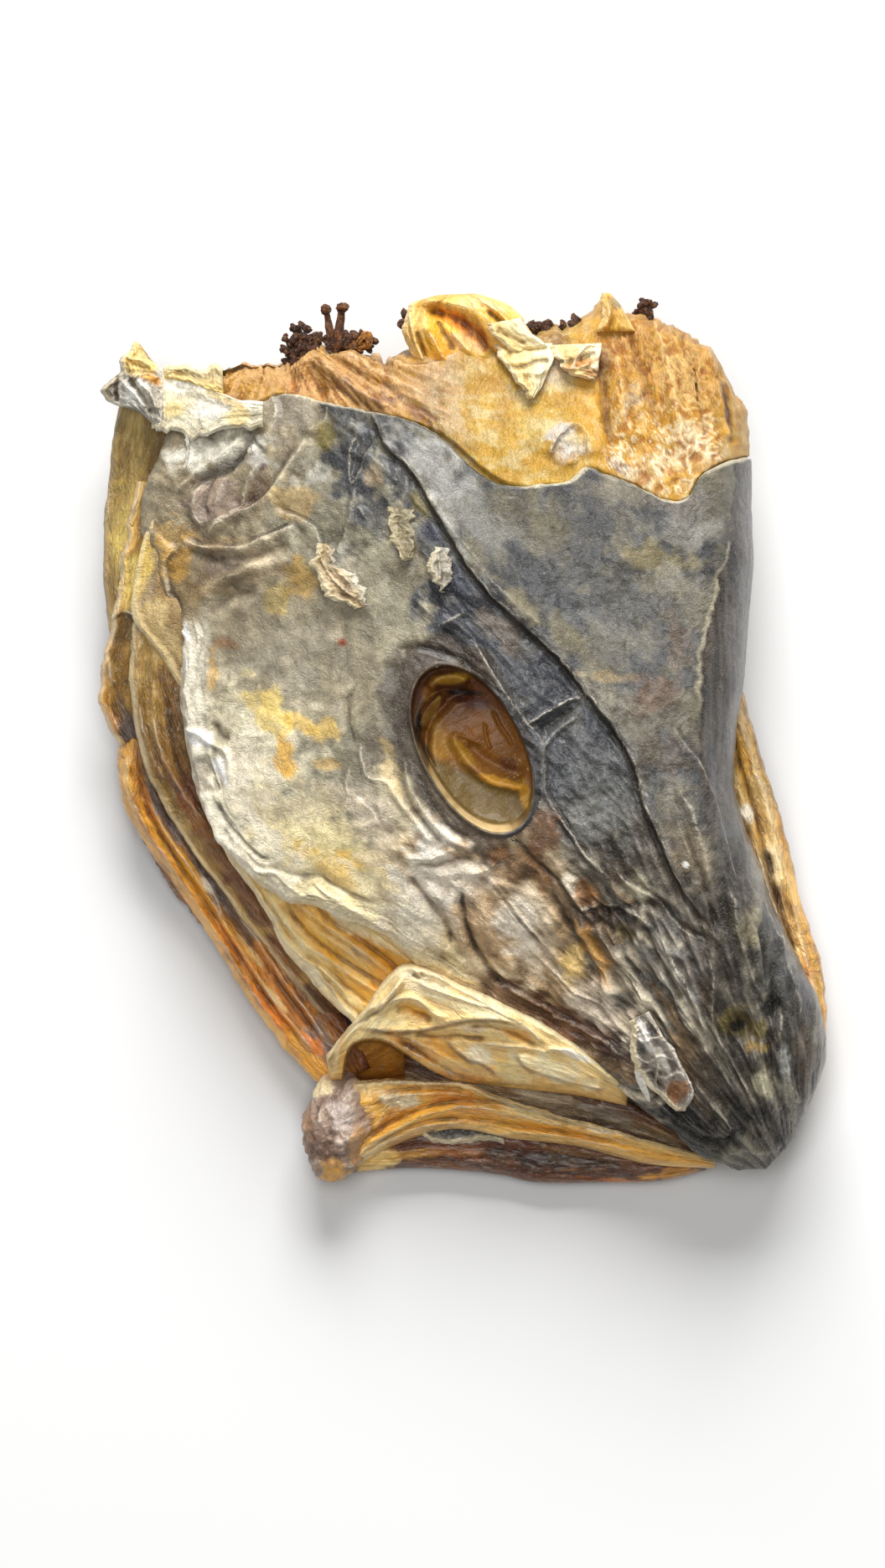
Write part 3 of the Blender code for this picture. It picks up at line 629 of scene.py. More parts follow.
def skin_relief(x, y):
    """How far the skin stands off the head's broad form: slow swells, strands that run to the snout's
    tip, a crinkled hem along the cheek's edge, and the named folds. Also the folds' drawn lines, a
    painted highlight and a painted shadow along each."""
    roof, muzzle, snout, cheek, strip, brow_gap = zones(x, y)
    rim_gap = x - reading(CHEEK_EDGE, y)
    away, swing = from_snout(x, y)
    relief = 2.2 * smooth(0.5 + brow_gap / 7) * smooth((y + 45) / 30)
    relief += 0.9 * billow(x / 24, y / 24, 2, 3)
    relief += (0.25 + 0.35 * cheek + 0.4 * muzzle + 0.3 * snout) * billow(x / 7.5, y / 7.5, 9, 3)
    dark_strip = strip * smooth(1 - brow_gap / 3) * smooth((y + 34) / 12)
    relief += 0.7 * strip * smooth((y - 30) / 10) * (1 - roof)
    crumple = creased(x / 9 + 0.5 * ripple(x / 12, y / 12, 33), (y + 0.6 * x) / 9, 34, 3) - 0.45
    cross = creased((x - 0.5 * y) / 8 + 0.6 * ripple(x / 6, y / 6, 37), (x + 1.1 * y) / 2.6, 38, 3) - 0.5
    relief += (1.3 * dark_strip + 0.7 * smooth((y - 36) / 14) * cheek) * crumple
    relief += (0.7 * dark_strip + 0.6 * smooth((y - 36) / 14) * cheek + 0.2 * muzzle) * cross
    strands = creased(away / 30 + 0.4 * ripple(x / 20, y / 20, 4), swing / 6.5, 21, 3) - 0.45
    relief += (1.5 * muzzle + 1.9 * snout * (1 - 0.5 * roof)) * strands
    relief += (0.5 * muzzle + 0.7 * snout) * (creased(away / 12, swing / 2.4, 31, 2) - 0.45)
    hem = creased(rim_gap / 1.9 + 0.6 * ripple(x / 9, y / 9, 8), (y - x) / 17, 12, 2) - 0.4
    low_cheek = smooth((34 - y) / 8)
    relief += 1.1 * hem * smooth((11 - rim_gap) / 7) * low_cheek
    relief += 1.1 * np.exp(-(((rim_gap - 2.2) / 1.6) ** 2)) * low_cheek
    lines = no_lines(x)
    for row in FOLDS:
        relief += fold(x, y, lines, *row)
    for (px, py), size, depth in PITS:
        relief += depth * np.exp(-(((x - px) ** 2 + (y - py) ** 2) / size**2))
    relief += (0.14 - 0.09 * cheek) * ripple(x / 1.3, y / 1.3, 6)
    relief += (0.08 - 0.05 * cheek) * ripple(x / 0.7, y / 0.7, 16)
    return relief, lines


SKIN_STAINS_AND_SHADOWS = [
    (162, 151, 128, 0.9, -40, 20, 30, 22), (226, 217, 190, 0.95, -48, -6, 17, 22, 10),
    (232, 216, 172, 0.9, -34, -24, 22, 14, -35), (254, 236, 180, 1, -22, -35, 18, 9, -38),
    (250, 238, 204, 0.95, -14, -41, 10, 8, -40), (186, 176, 152, 0.6, -36, -13, 11, 6, 15),
    (160, 152, 134, 0.6, -40, 22, 16, 8), (172, 164, 146, 0.5, -40, 12, 10, 5, 20),
    (148, 136, 112, 0.5, -54, 27, 10, 5), (236, 208, 132, 0.75, -45, 8, 8, 4.5, -40),
    (224, 178, 86, 0.8, -41.5, -4, 3, 5, -15), (226, 188, 104, 0.6, -38, 5, 5, 2.5, -30),
    (226, 190, 110, 0.6, -32, 3, 4, 3, 20), (206, 170, 104, 0.6, -32, -5, 4, 1.6),
    (214, 178, 96, 0.7, -37, -25, 3.5, 2, -20), (232, 188, 96, 0.7, -28, -28, 5, 2.6, -25),
    (230, 188, 100, 0.7, -30.5, -33, 1.6, 4), (222, 176, 90, 0.5, -59.5, 16, 1.3, 5),
    (140, 98, 60, 0.6, -55, 23, 4, 1.6, -20), (206, 196, 164, 0.6, -56, 5, 4, 8),
    (110, 86, 56, 0.5, -33, 36, 2, 3),
    # temple and upper cheek
    (146, 140, 120, 0.9, -30, 56, 22, 22), (190, 182, 162, 0.8, -27, 41, 4.5, 5, -20),
    (116, 108, 90, 0.8, -14, 41, 5, 6, -20), (136, 118, 92, 0.8, -56, 40, 14, 7, 10),
    (120, 106, 96, 0.7, -57, 42.5, 6, 3, 20), (148, 124, 88, 0.6, -67, 34, 6, 9),
    (176, 140, 80, 0.8, -68, 45, 5, 8, -10), (178, 156, 124, 0.8, -58, 47.2, 10, 1.3, 2),
    # the thin dark row at (-54, 45) is painted shadow under the long lap fold
    (110, 84, 58, 0.5, -54, 45, 12, 1.6, 2), (150, 132, 118, 0.9, -58, 57, 8, 6, 25),
    (112, 88, 66, 0.8, -48, 59, 3, 5, -25), (222, 217, 200, 1, -57, 69.4, 12, 5, 10),
    (118, 112, 104, 0.7, -54, 66, 8, 1.6, 25), (160, 150, 132, 0.8, -41, 78, 7, 6),
    (140, 128, 108, 0.8, -41, 69, 4, 4, 40), (202, 198, 186, 0.8, -48, 66.6, 2.6, 1.8, -20),
    (80, 40, 24, 0.8, -47, 65, 1, 0.8), (176, 154, 114, 0.9, -39.5, 57, 6, 4, -10),
    (196, 192, 178, 0.8, -33, 63, 5, 3), (66, 68, 72, 1, -25.5, 63, 6.5, 12, 15),
    (78, 80, 84, 0.8, -22, 54, 4, 7, 20), (96, 90, 76, 0.6, -28, 47, 5, 6, 10),
    (122, 110, 62, 0.9, -33, 72.5, 4, 3), (206, 202, 190, 0.7, -30, 42, 3, 6, -20),
    (176, 144, 84, 0.7, -38, 38, 4, 5), (196, 172, 112, 0.6, -44, 34, 3, 4),
    (164, 158, 138, 0.6, -16, 30, 7, 8, -30), (160, 152, 130, 0.6, -20, 24, 6, 5, 30),
    (62, 66, 76, 0.9, -16, 71, 2.6, 6, 25), (152, 136, 112, 0.9, -20.5, 62.5, 2.2, 3, 20),
    (78, 80, 84, 0.8, -15, 62, 3, 6, 35), (122, 112, 80, 0.9, -9.6, 55.6, 3, 3, 30),
    (164, 150, 126, 0.9, -13.6, 48, 2.4, 5, 20), (58, 62, 76, 0.9, -7, 48.6, 3.4, 3.6),
    (66, 70, 80, 0.8, -1, 38, 3, 5, 35), (70, 74, 84, 0.8, 3, 24, 3, 6, 35),
    (116, 106, 96, 0.85, 8, 27, 4, 8, 38), (84, 86, 90, 0.8, 16, 14, 4, 6, 38),
    # about the socket
    (96, 88, 80, 0.8, -15, 10, 5, 13), (72, 58, 48, 0.9, -9, 21, 7, 3, 5), (112, 102, 90, 0.7, -20, -2, 5, 9),
    (74, 76, 80, 0.8, -2, 26, 5, 5), (206, 196, 168, 0.75, -15, -14, 5, 12, 30),
    (226, 220, 206, 0.8, -7, -22, 7, 5, 40), (216, 190, 140, 0.5, -17, -6, 2.5, 7, 15),
    (190, 178, 160, 0.7, -22, -18, 6, 10, 25), (170, 152, 128, 0.6, -19, -30, 4, 9, 20),
    (240, 232, 218, 0.95, -8, -33, 8, 9, 30),
    # muzzle; the dark rows at (14, -61), (24, -66) and (35, -70), along its lower fold, are painted shadow of
    # that fold over the lip
    (226, 216, 200, 0.8, 0, -33, 7, 6), (158, 134, 106, 0.8, 7, -43, 6, 14, 32),
    (224, 214, 196, 0.85, 14, -44, 5, 11, 42), (100, 76, 54, 0.9, 14, -28, 10, 5, -35),
    (96, 78, 60, 0.8, 25, -40, 5, 5, -30), (64, 52, 42, 1, 35, -70, 7, 4.5, -35),
    (96, 80, 64, 0.8, 25, -60, 6, 4, -35), (96, 80, 62, 0.8, 34, -50, 4, 6, 20),
    (78, 70, 62, 0.8, 45, -40, 5, 5), (76, 74, 70, 0.9, 26, -19, 6, 6, 30),
    (160, 112, 62, 0.7, 7.5, -26, 2.6, 1.8), (104, 78, 62, 0.85, 19, -20, 5, 7, 35),
    (138, 118, 96, 0.7, 22, -48, 8, 6, -40), (176, 160, 132, 0.6, 3, -55, 10, 5, -32),
    (196, 170, 118, 0.7, 26, -53, 3.5, 7, 15), (160, 122, 76, 0.75, 31, -49, 2.6, 8, 22),
    (196, 182, 164, 0.8, 31, -61, 9, 5, -40), (88, 66, 44, 0.9, 14, -61, 13, 4.4, -28),
    (86, 62, 40, 0.9, 24, -66, 14, 4, -28), (214, 206, 186, 0.7, 25.5, -33, 1.8, 4, 35),
    (132, 96, 66, 0.85, 29, -35.5, 2.4, 3.4, 35), (184, 170, 130, 0.6, -5, -50, 7, 4, -30),
    # snout
    (100, 102, 102, 0.6, 32, -10, 10, 13, 30), (128, 128, 120, 0.5, 30, -18, 5, 6, 30),
    (52, 42, 34, 0.9, 36, -41, 8, 4, -15), (112, 100, 76, 0.7, 38, -45, 3, 2),
    (150, 144, 124, 0.6, 41, -34, 4, 4, -40), (104, 104, 102, 0.6, 50, -50, 7, 14, 20),
    (122, 110, 92, 0.6, 52, -22, 4, 14, 15), (84, 78, 72, 0.7, 44, -26, 3, 12, 20),
    (120, 124, 128, 0.5, 53, -14, 3, 7, 20), (58, 54, 52, 0.8, 58, 12, 6, 14),
    (92, 94, 96, 0.8, 58.5, -10, 2.6, 16, 8), (126, 118, 92, 0.6, 68, -44, 3.5, 7, 8),
    (44, 44, 46, 1, 74, -52, 7, 15, 14), (78, 76, 70, 0.6, 71, -52, 4, 8, 10),
    # the two near-black rows in the nostril pits, at (64.5, -67.5) and (72.5, -62.5), are painted shade
    (92, 82, 40, 0.8, 65, -66, 6, 4, -20), (36, 30, 22, 0.9, 64.5, -67.5, 2, 1.3),
    (36, 32, 28, 0.9, 72.5, -62.5, 3, 2.4, 20), (128, 106, 52, 0.6, 69, -71.5, 3, 1.6),
    (148, 144, 122, 0.7, 71, -80, 3, 4), (138, 140, 136, 0.6, 75.5, -76, 1.6, 6),
    (86, 74, 62, 0.6, 80, -76, 2.6, 10, 5), (132, 126, 110, 0.6, 74, -81, 4, 5),
    (40, 33, 28, 1, 52, -90, 15, 6, -20), (44, 38, 34, 0.9, 66, -89, 5, 6, 20),
    (66, 60, 52, 0.7, 58, -78, 4, 9, 25), (84, 82, 68, 0.7, 66, -97, 6, 2.4),
    (60, 60, 60, 0.6, 75, -95, 3, 3),
]
# the roof's own, laid only above the brow
ROOF_STAINS = [
    (164, 162, 156, 0.85, -6, 63, 13, 6.5, -48), (146, 144, 136, 0.7, 6, 50, 9, 5, -40),
    (164, 161, 152, 0.8, -4, 46, 4.5, 7, 25), (122, 124, 126, 0.7, 24, 32, 9, 6, -20),
    (84, 82, 76, 0.8, 25, 50, 7, 6), (78, 78, 78, 0.8, 14, 41, 7, 5, -40), (150, 146, 138, 0.7, 52, 50, 7, 5),
    (146, 138, 122, 0.7, 36, 58, 8, 4, -10), (108, 102, 84, 0.8, 13, 54, 8, 4, -20),
    (112, 104, 82, 0.7, 20, 50, 6, 5), (72, 73, 76, 0.7, 30, 52, 5, 7, 10),
    (68, 70, 74, 0.7, 18, 38, 13, 6, -25), (84, 85, 87, 0.6, 36, 34, 11, 7),
    (150, 138, 104, 0.7, 46, 43, 10, 3.5, -12), (154, 148, 132, 0.6, 50, 38, 7, 4, -10),
    (142, 133, 108, 0.7, 14, 32.5, 7, 2.4, -45), (136, 127, 100, 0.6, 24, 26, 7, 2.6, -40),
    (128, 125, 114, 0.6, 40, 24, 13, 4, 5), (156, 138, 108, 0.8, 34, 15.4, 8, 1.5, -8),
    (120, 101, 86, 0.8, 44, 11, 7, 5), (160, 152, 136, 0.6, 37, 9.4, 5, 1.4, -20),
    (118, 103, 90, 0.7, 50, 22, 3, 9, 8), (104, 93, 84, 0.7, 46, -3, 9, 6),
    (136, 128, 120, 0.6, 50, 56, 8, 3),
]

# paler skin along the cheek's lower hem, laid over the mottling; the three near-white rows on the rim are
# painted highlights on its glossy folds
HEM_STAINS_AND_HIGHLIGHTS = [
    (252, 238, 198, 0.85, -25, -36, 15, 6.5, -36), (248, 236, 210, 0.85, -12, -42, 8, 6, -40),
    (248, 236, 214, 0.75, -5, -31, 8, 7, 20), (246, 236, 210, 0.75, -46, -27, 10, 6, -46),
    (230, 220, 200, 0.5, -52, -8, 6, 14, 12), (214, 200, 172, 0.5, -48, 46, 9, 4, 10),
    (255, 252, 246, 1, -61, 1.2, 5, 1.6, -25), (255, 252, 246, 1, -57.4, -6, 1.6, 5, 22),
    (255, 252, 246, 0.9, -64.8, 22, 0.9, 7), (160, 148, 130, 0.7, -61.2, -8, 1.4, 4, 20),
    (236, 196, 116, 0.6, -30, -31, 7, 2.4, -36),
]
# the pale seam between the roof's flat top and its dark side, as y and x
ROOF_SEAM = [(70, 61.5), (46, 60.4), (39, 58.6), (34, 57.8), (26, 56), (20, 54.8), (0, 54), (-60, 55)]


def skin_tone(x, y, relief):
    """The skin's colours: a base for each zone, ragged stains over it, a few of them painted shadows
    and highlights, then pale crests and dark hollows from the relief, as painted highlight and
    painted shade."""
    roof, muzzle, snout, cheek, strip, brow_gap = zones(x, y)
    rim_gap = x - reading(CHEEK_EDGE, y)
    cloud = billow(x / 13, y / 13, 40, 5)
    away, swing = from_snout(x, y)
    strip = strip * smooth((y + 40) / 20)
    toward_snout = np.maximum(muzzle, snout)
    mottle = billow(x / 3.4, y / 3.4, 60, 4) * (1 - toward_snout) * (1 - strip)
    mottle += billow(away / 11, swing / 2.2, 62, 4) * toward_snout * (1 - strip)
    mottle += billow((0.6 * x - 0.8 * y) / 8, brow_gap / 2.2, 61, 4) * strip
    tone = plain(x, dye(150, 143, 122))
    tint(tone, smooth((y - 26) / 14) * smooth((-26 - x) / 12), dye(144, 132, 108))
    tint(tone, strip, dye(78, 80, 85))
    tint(tone, 0.6 * strip * smooth(cloud / 0.4), dye(108, 107, 100))
    tint(tone, 0.6 * strip * smooth(-cloud / 0.4), dye(52, 54, 62))
    tint(tone, muzzle, dye(164, 142, 114))
    tint(tone, snout, dye(82, 78, 71))
    flow = billow(away / 26, swing / 7, 64, 4)
    tint(tone, 0.7 * snout * smooth(flow / 0.3), dye(112, 107, 96))
    tint(tone, 0.8 * snout * smooth(-flow / 0.3), dye(54, 50, 46))
    tint(tone, 0.6 * muzzle * smooth(flow / 0.35), dye(200, 188, 166))
    tint(tone, 0.7 * muzzle * smooth(-flow / 0.35), dye(126, 106, 84))
    stain(tone, x, y, SKIN_STAINS_AND_SHADOWS)
    ring = smooth((1.36 + 0.3 * cloud - socket_share(x, y)) / 0.14)
    tint(tone, 0.9 * ring * smooth((14 - x) / 10), dye(76, 66, 58))
    above = plain(x, dye(96, 95, 91))
    tint(above, 0.8 * smooth(cloud / 0.3), dye(122, 117, 102))
    tint(above, 0.8 * smooth(-cloud / 0.3), dye(74, 75, 77))
    tint(above, 0.5 * smooth(billow(x / 5, y / 5, 44, 5) / 0.4), dye(128, 121, 102))
    stain(above, x, y, ROOF_STAINS)
    band = x - reading(ROOF_SEAM, y) + 0.5 * billow(x / 3, y / 4, 45, 3)
    streaks = billow(x / 1.3, y / 16, 46, 3)
    tint(above, smooth(band / 0.6), dye(72, 64, 58))
    tint(above, 0.8 * smooth(band / 0.6) * smooth(streaks / 0.4), dye(104, 96, 88))
    tint(above, 0.8 * smooth(band / 0.6) * smooth(-streaks / 0.4), dye(48, 42, 38))
    pale_seam = smooth((0.5 - abs(band)) / 0.4) * smooth((y - 6) / 6) * smooth((48 - y) / 2)
    tint(above, 0.8 * pale_seam, dye(182, 172, 150))
    tint(tone, roof * smooth((y + 26) / 16), above * 0.92)
    slack = smooth((y - 32) / 8)
    calm = (1 - 0.6 * strip * (1 - roof)) * (1 - 0.6 * cheek * (1 - slack)) * (1 - 0.5 * muzzle)
    bend_x, bend_y = x + 5 * billow(x / 12, y / 12, 66, 2), y + 5 * billow(x / 12, y / 12, 67, 2)
    smears = billow(bend_x / 6, bend_y / 13, 68, 4)
    tone *= 1 - 0.14 * cheek[..., None] * (1 - 0.6 * smooth((-14 - y) / 16))[..., None]
    tint(tone, 0.5 * cheek * smooth(smears / 0.5), tone * 1.25 + (0.05, 0.046, 0.04))
    tint(tone, 0.5 * cheek * smooth(-smears / 0.5), tone * (0.68, 0.67, 0.68))
    tint(tone, 0.5 * calm * smooth(mottle / 0.45) * (1 - 0.4 * roof), tone * 1.35 + 0.02)
    tint(tone, calm * (0.5 - 0.2 * cheek) * smooth(-mottle / 0.45), tone * (0.7, 0.68, 0.66))
    low_cheek = smooth((31 - y) / 5)
    rim_white = smooth((6.5 - rim_gap + 2 * cloud) / 3) * low_cheek * smooth((y + 62) / 12)
    tint(tone, 0.75 * rim_white, dye(230, 222, 202))
    tint(tone, 0.7 * rim_white * smooth((-22 - y) / 14), dye(238, 218, 172))
    thin_rim = smooth((-26 - y) / 10) * smooth((1.2 - rim_gap) / 1) * smooth((-20 - x) / 4)
    tint(tone, thin_rim, dye(252, 246, 226))
    stain(tone, x, y, HEM_STAINS_AND_HIGHLIGHTS, 0.7, 17)
    spot = np.hypot(x + 28.3, y - 23.6)
    tint(tone, smooth((1.3 - spot) / 0.7), dye(132, 74, 24))
    tint(tone, smooth((0.8 - np.hypot(x - 52.2, y + 28.2)) / 0.3), dye(236, 234, 226))
    # pale crests are painted highlight, dark hollows painted shade
    crest_light_and_shade = relief - blur(relief, 10)
    tint(tone, 0.6 * smooth(crest_light_and_shade / 0.42), tone * 1.5 + (0.05, 0.047, 0.04))
    tint(tone, (0.75 - 0.3 * cheek) * smooth(-crest_light_and_shade / 0.5), tone * (0.42, 0.36, 0.3))
    cut_gap = skin_cut(x) - y
    tint(tone, 0.8 * smooth((0.9 - cut_gap) / 0.5), dye(214, 204, 178))
    return tone


def socket_share(x, y):
    """How far out each point is from the eye socket's middle: 1 on its rim."""
    dx, dy = x - EYE_CENTRE[0], y - EYE_CENTRE[1]
    long = dx * np.cos(EYE_TURN) + dy * np.sin(EYE_TURN)
    wide = dy * np.cos(EYE_TURN) - dx * np.sin(EYE_TURN)
    return np.hypot(long / EYE_HALF_LENGTH, wide / EYE_HALF_WIDTH)


x, y, left, right = head_grid(skin_cut, 205, 306, ((30, LEFT_ROUND), (54, RIGHT_ROUND), (24, TIP_ROUND)))
relief, lines = skin_relief(x, y)
edge = rim_height(x, y, left, right)
rise = side_rise(x, left, right) * quarter_round(y - TIP_Y, TIP_ROUND)
hide = np.stack([x, y, raised(x, y, edge, rise)], axis=-1)
sink = 1.7 * (1 - quarter_round(y[:1] - y, 0.8)) * smooth((x - left) / 3)
hide += normals(hide) * (relief * (0.35 + 0.65 * rise) * smooth(rise / 0.2) - sink)[..., None]
share = socket_share(x, y)
keep = (share[:-1, :-1] + share[1:, :-1] + share[1:, 1:] + share[:-1, 1:]) / 4 > 1.04
hide_look = hide_finish(
    "dried_hide", flecks=0.32, hairs=0.5, wrinkle=0.3, bump=0.7, rough=0.36,
    Coat_Weight=0.25, Coat_Roughness=0.2,
)
skin = join("head_skin", hide_look, surface(hide, skin_tone(x, y, relief), keep=keep, lines=lines))
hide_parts("dried_cod_head")

# ---- The eye socket ----
# The eye has dried away. A thin rim of skin stands round the hole, over a wall of bone and a glossy
# brown membrane with one raised band across it.
turn = np.linspace(0, 2 * np.pi, 220, endpoint=False)[None, :]
spread = np.concatenate([np.linspace(1.19, 1.03, 12), np.linspace(1.02, 0.92, 14), np.linspace(0.915, 0, 74)])
spread = spread[:, None]
narrow = 0.06 - 0.07 * np.cos(2 * turn) + 0.03 * np.cos(turn)
reach = spread * (1 - narrow * smooth((1.19 - spread) / 0.17))
long, wide = EYE_HALF_LENGTH * reach * np.cos(turn), EYE_HALF_WIDTH * reach * np.sin(turn)
x = EYE_CENTRE[0] + long * np.cos(EYE_TURN) - wide * np.sin(EYE_TURN)
y = EYE_CENTRE[1] + long * np.sin(EYE_TURN) + wide * np.cos(EYE_TURN)
relief, lines = skin_relief(x, y)
tone = skin_tone(x, y, relief)
toward_mouth = smooth(0.5 + 0.5 * (-(x - 2.5) * 0.85 - (y + 2) * 0.5) / 7)
lip = (0.2 + 0.5 * toward_mouth) * np.exp(-(((spread - 1.025) / 0.025) ** 2))
lip -= 0.6 * smooth((spread - 1.1) / 0.09)
rim_top = head_height(x, y) + relief + lip
shelf = 0.04 + 0.13 * toward_mouth * smooth((4 - y) / 10)
drop = smooth((1.005 - spread) / shelf)
SOCKET_FOLDS = [
    (1.9, 1.4, [-2.8, 3, -1.4, -0.6, 1.6, -5, 6.6, -8.8, 11, -10, 16, -11]),
    (-1.5, 1.4, [1, 0.6, 4, -2.6, 7.6, -5, 11, -6.4, 15, -7.4]),
    (-3.2, 1.2, [3, 11.4, -2, 11.2, -5, 8.6, -8, 4.6, -8.8, 0, -8.4, -4, -7, -8]),
    (2.8, 1.3, [-9.8, 3, -8.8, 6.4, -7, 9.4, -4.4, 11]),
    (3, 1.5, [-8, 12.4, -6, 14.8, -2.4, 15.6, 2, 14.2]),
    (-2, 0.7, [-8.4, 10.4, -5.6, 12.4, -2, 12.8, 2, 12.4]), (0.7, 0.4, [-2.6, 2.4, 0.6, 1.4, 4.4, -0.4]),
    (0.8, 0.5, [7, 8, 8.6, 4.4, 10.6, 1.4, 11.6, -0.6]), (0.6, 0.4, [5, 5, 5.6, 1, 6.6, -1.6]),
]
membrane = 44.5 + 3 * spread**3 + 1 * billow(x / 14, y / 14, 70, 3) + 0 * turn
lines[..., [1, 3]] *= smooth((spread - 1) / 0.01)[..., None]
for row in SOCKET_FOLDS:
    membrane += fold(x, y, None, *row)
scratches = creased((0.82 * x + 0.57 * y) / 7, (0.82 * y - 0.57 * x) / 0.8, 73, 2)
cells = ripple(x / 1.1, y / 1.1, 77)
membrane += 0.15 * (scratches - 0.5) * smooth((0.9 - spread) / 0.2)
z = rim_top + (membrane - rim_top) * drop
inside = smooth((1.005 - spread) / 0.02) + 0 * turn
floor_share = smooth((drop - 0.5) / 0.4)
# the inner wall is painted dark brown as shade, and its lower side towards the mouth cream as painted light
# where the key light falls
tint(tone, inside, dye(58, 42, 28))
tint(tone, inside * toward_mouth * smooth((2 - y) / 6), dye(168, 142, 104))
tint(tone, floor_share, dye(136, 96, 44))
tint(tone, floor_share * smooth((y - 2) / 12), dye(104, 68, 24))
tint(tone, floor_share * smooth((-6 - y - 0.35 * (x - 6)) / 4), dye(108, 90, 62))
stain(tone, x, y, [
    (84, 52, 16, 0.8, 2, 10.4, 5, 2.4, -20), (152, 104, 42, 0.7, 4, 4, 4, 4),
    (158, 122, 72, 0.8, -5.4, 0.6, 2.6, 5, 10), (168, 130, 74, 0.8, 0, -2.4, 1.8, 4.4, 40),
    (188, 142, 70, 0.9, 8.6, -9, 6.4, 1.3, -14), (94, 62, 36, 0.8, 11, -4.8, 3.4, 2, -35),
    (186, 154, 102, 0.95, -7.2, 7.6, 4.4, 1, 58), (184, 146, 86, 0.95, -2.6, 15, 5, 1.5, 6),
    # the three near-black rows lie in the groove round the membrane's top and left: painted shade in that gap
    (150, 108, 52, 0.8, -8, 12.4, 1.6, 3, -20), (36, 22, 8, 0.9, -10.6, 3, 1.1, 7, -4),
    (40, 24, 8, 0.9, 0.6, 12, 5.4, 0.8, -4), (48, 30, 12, 0.8, -8.8, -3, 0.9, 6, 12),
    (196, 152, 84, 0.7, 14.6, -12, 1.4, 4, 5),
], ragged=0.25, amount=inside.mean(axis=1, keepdims=True))
tint(tone, floor_share, tone * (0.84, 0.86, 0.66))
tint(tone, 0.5 * floor_share * smooth((scratches - 0.66) / 0.2), tone * 1.3 + 0.03)
tint(tone, 0.5 * floor_share * smooth((cells - 0.25) / 0.3), tone * 1.25)
glints = smooth((ripple(x / 0.6, y / 0.7, 78) - 0.5) / 0.15) * smooth((5 - np.hypot(x - 13.6, y + 5.6)) / 3)
tint(tone, 0.7 * floor_share * glints, dye(226, 196, 150))
# low_wall: more cream on the lower inner wall, painted light
low_wall = toward_mouth * smooth((-5 - y) / 5) * smooth((1 - spread) / 0.01) * smooth((spread - 0.89) / 0.03)
low_wall = low_wall * smooth((15 - x) / 6) * smooth(0.9 + 1.2 * billow(x / 3, y / 3, 79, 3))
tint(tone, low_wall, dye(196, 174, 134))
dark_ring = smooth((spread - 1) / 0.01) * smooth((1.16 - spread) / 0.05) * smooth((x - 4) / 8)
tint(tone, dark_ring, dye(66, 64, 64))
# rim_line: a pale line on the rim towards the mouth, painted highlight
rim_line = smooth((0.009 - abs(spread - 1.012)) / 0.007) * smooth(0.7 + billow(x / 4, y / 4, 76, 3))
tint(tone, 0.5 * rim_line * toward_mouth, dye(168, 150, 124))
grid = np.stack([x, y, z], axis=-1)
membrane_look = hide_finish(
    "eye_membrane", flecks=0.22, hairs=0.25, wrinkle=0.15, bump=0.4, rough=0.42,
    Coat_Weight=0.12, Coat_Roughness=0.2,
)
join("eye_socket", membrane_look, surface(grid, tone, loop=True, lines=lines))

# ---- The cut neck ----
# Behind the knife's line the skin is gone, and the neck's muscle has dried to amber glue. It is
# fibrous where it tore, and turns down in a ragged wall at the back of the head.
def neck_end(x):
    """The line where the neck was cut off behind, rounded at the far corner."""
    return reading(NECK_EDGE, x) + 1.1 * billow(x / 5, 0 * x, 80, 4) - 5 * smooth((x - 58) / 9)


WALL_ROUND = 3
in_left, in_right = roll(24, LEFT_ROUND), roll(40, RIGHT_ROUND)[::-1]
across = np.concatenate([-67.5 + in_left, np.linspace(-61.5, 55, 220), 66.5 - in_right])
torn = neck_end(across)
hidden = skin_cut(across) - 5
y = hidden + (torn - WALL_ROUND - hidden) * np.linspace(0, 1, 84)[:, None]
y = np.vstack([y, torn - roll(54, WALL_ROUND)[::-1][:, None]])
left, right = reading(CHEEK_EDGE, y), reading(SKULL_EDGE, y)
x = across + (left + 67.5) * smooth((-50 - across) / 17) + (right - 66.5) * smooth((across - 45) / 21)
x = np.clip(x, left, right)
edge = rim_height(x, y, left, right)
rise = side_rise(x, left, right) * quarter_round(torn - y, WALL_ROUND)
wall = 1 - quarter_round(torn - y, WALL_ROUND)
z = raised(x, y, edge, rise)
along_wall = y + 27 * wall
MUSCLE_FOLDS = [
    (2.2, 2, [-40, 86, -36, 90, -31, 88, -24, 82, -16, 77.5]),
    (-1.4, 1.4, [-36, 84, -30, 84, -23, 79.5, -17, 76]), (1.4, 1.6, [-30, 92, -22, 88, -14, 84, -8, 80]),
    (-1.1, 1.5, [-24, 90, -15, 86, -9, 83, -3, 78]), (1.6, 1.6, [6, 92, -2, 90, -10, 88, -18, 89], "lap"),
    (-2.2, 1.4, [31, 90, 32.5, 86, 33, 80, 34, 74, 35.5, 68]), (1.5, 1.4, [36, 92, 37, 84, 38, 76, 40, 70]),
    (1.3, 1.4, [44, 99, 47, 92, 49, 84, 50, 76, 52, 68]), (-1.5, 1.5, [39, 96, 42, 88, 44, 80, 46, 72]),
    (-1, 1.3, [50, 95, 54, 87, 56, 78, 57, 70]), (1.4, 1.6, [55, 93, 59, 86, 61, 78, 62, 70]),
    (-1.3, 0.9, [58, 88, 60.5, 82, 62, 74, 63, 70]),
    (1.3, 1, [20, 66, 22, 70, 26, 73.5, 29, 71, 29, 66], "lap"),
]
fan, net = smooth((6 - x) / 14), smooth((x - 31 - 0.1 * (y - 60)) / 4) * smooth((61 - x) / 2)
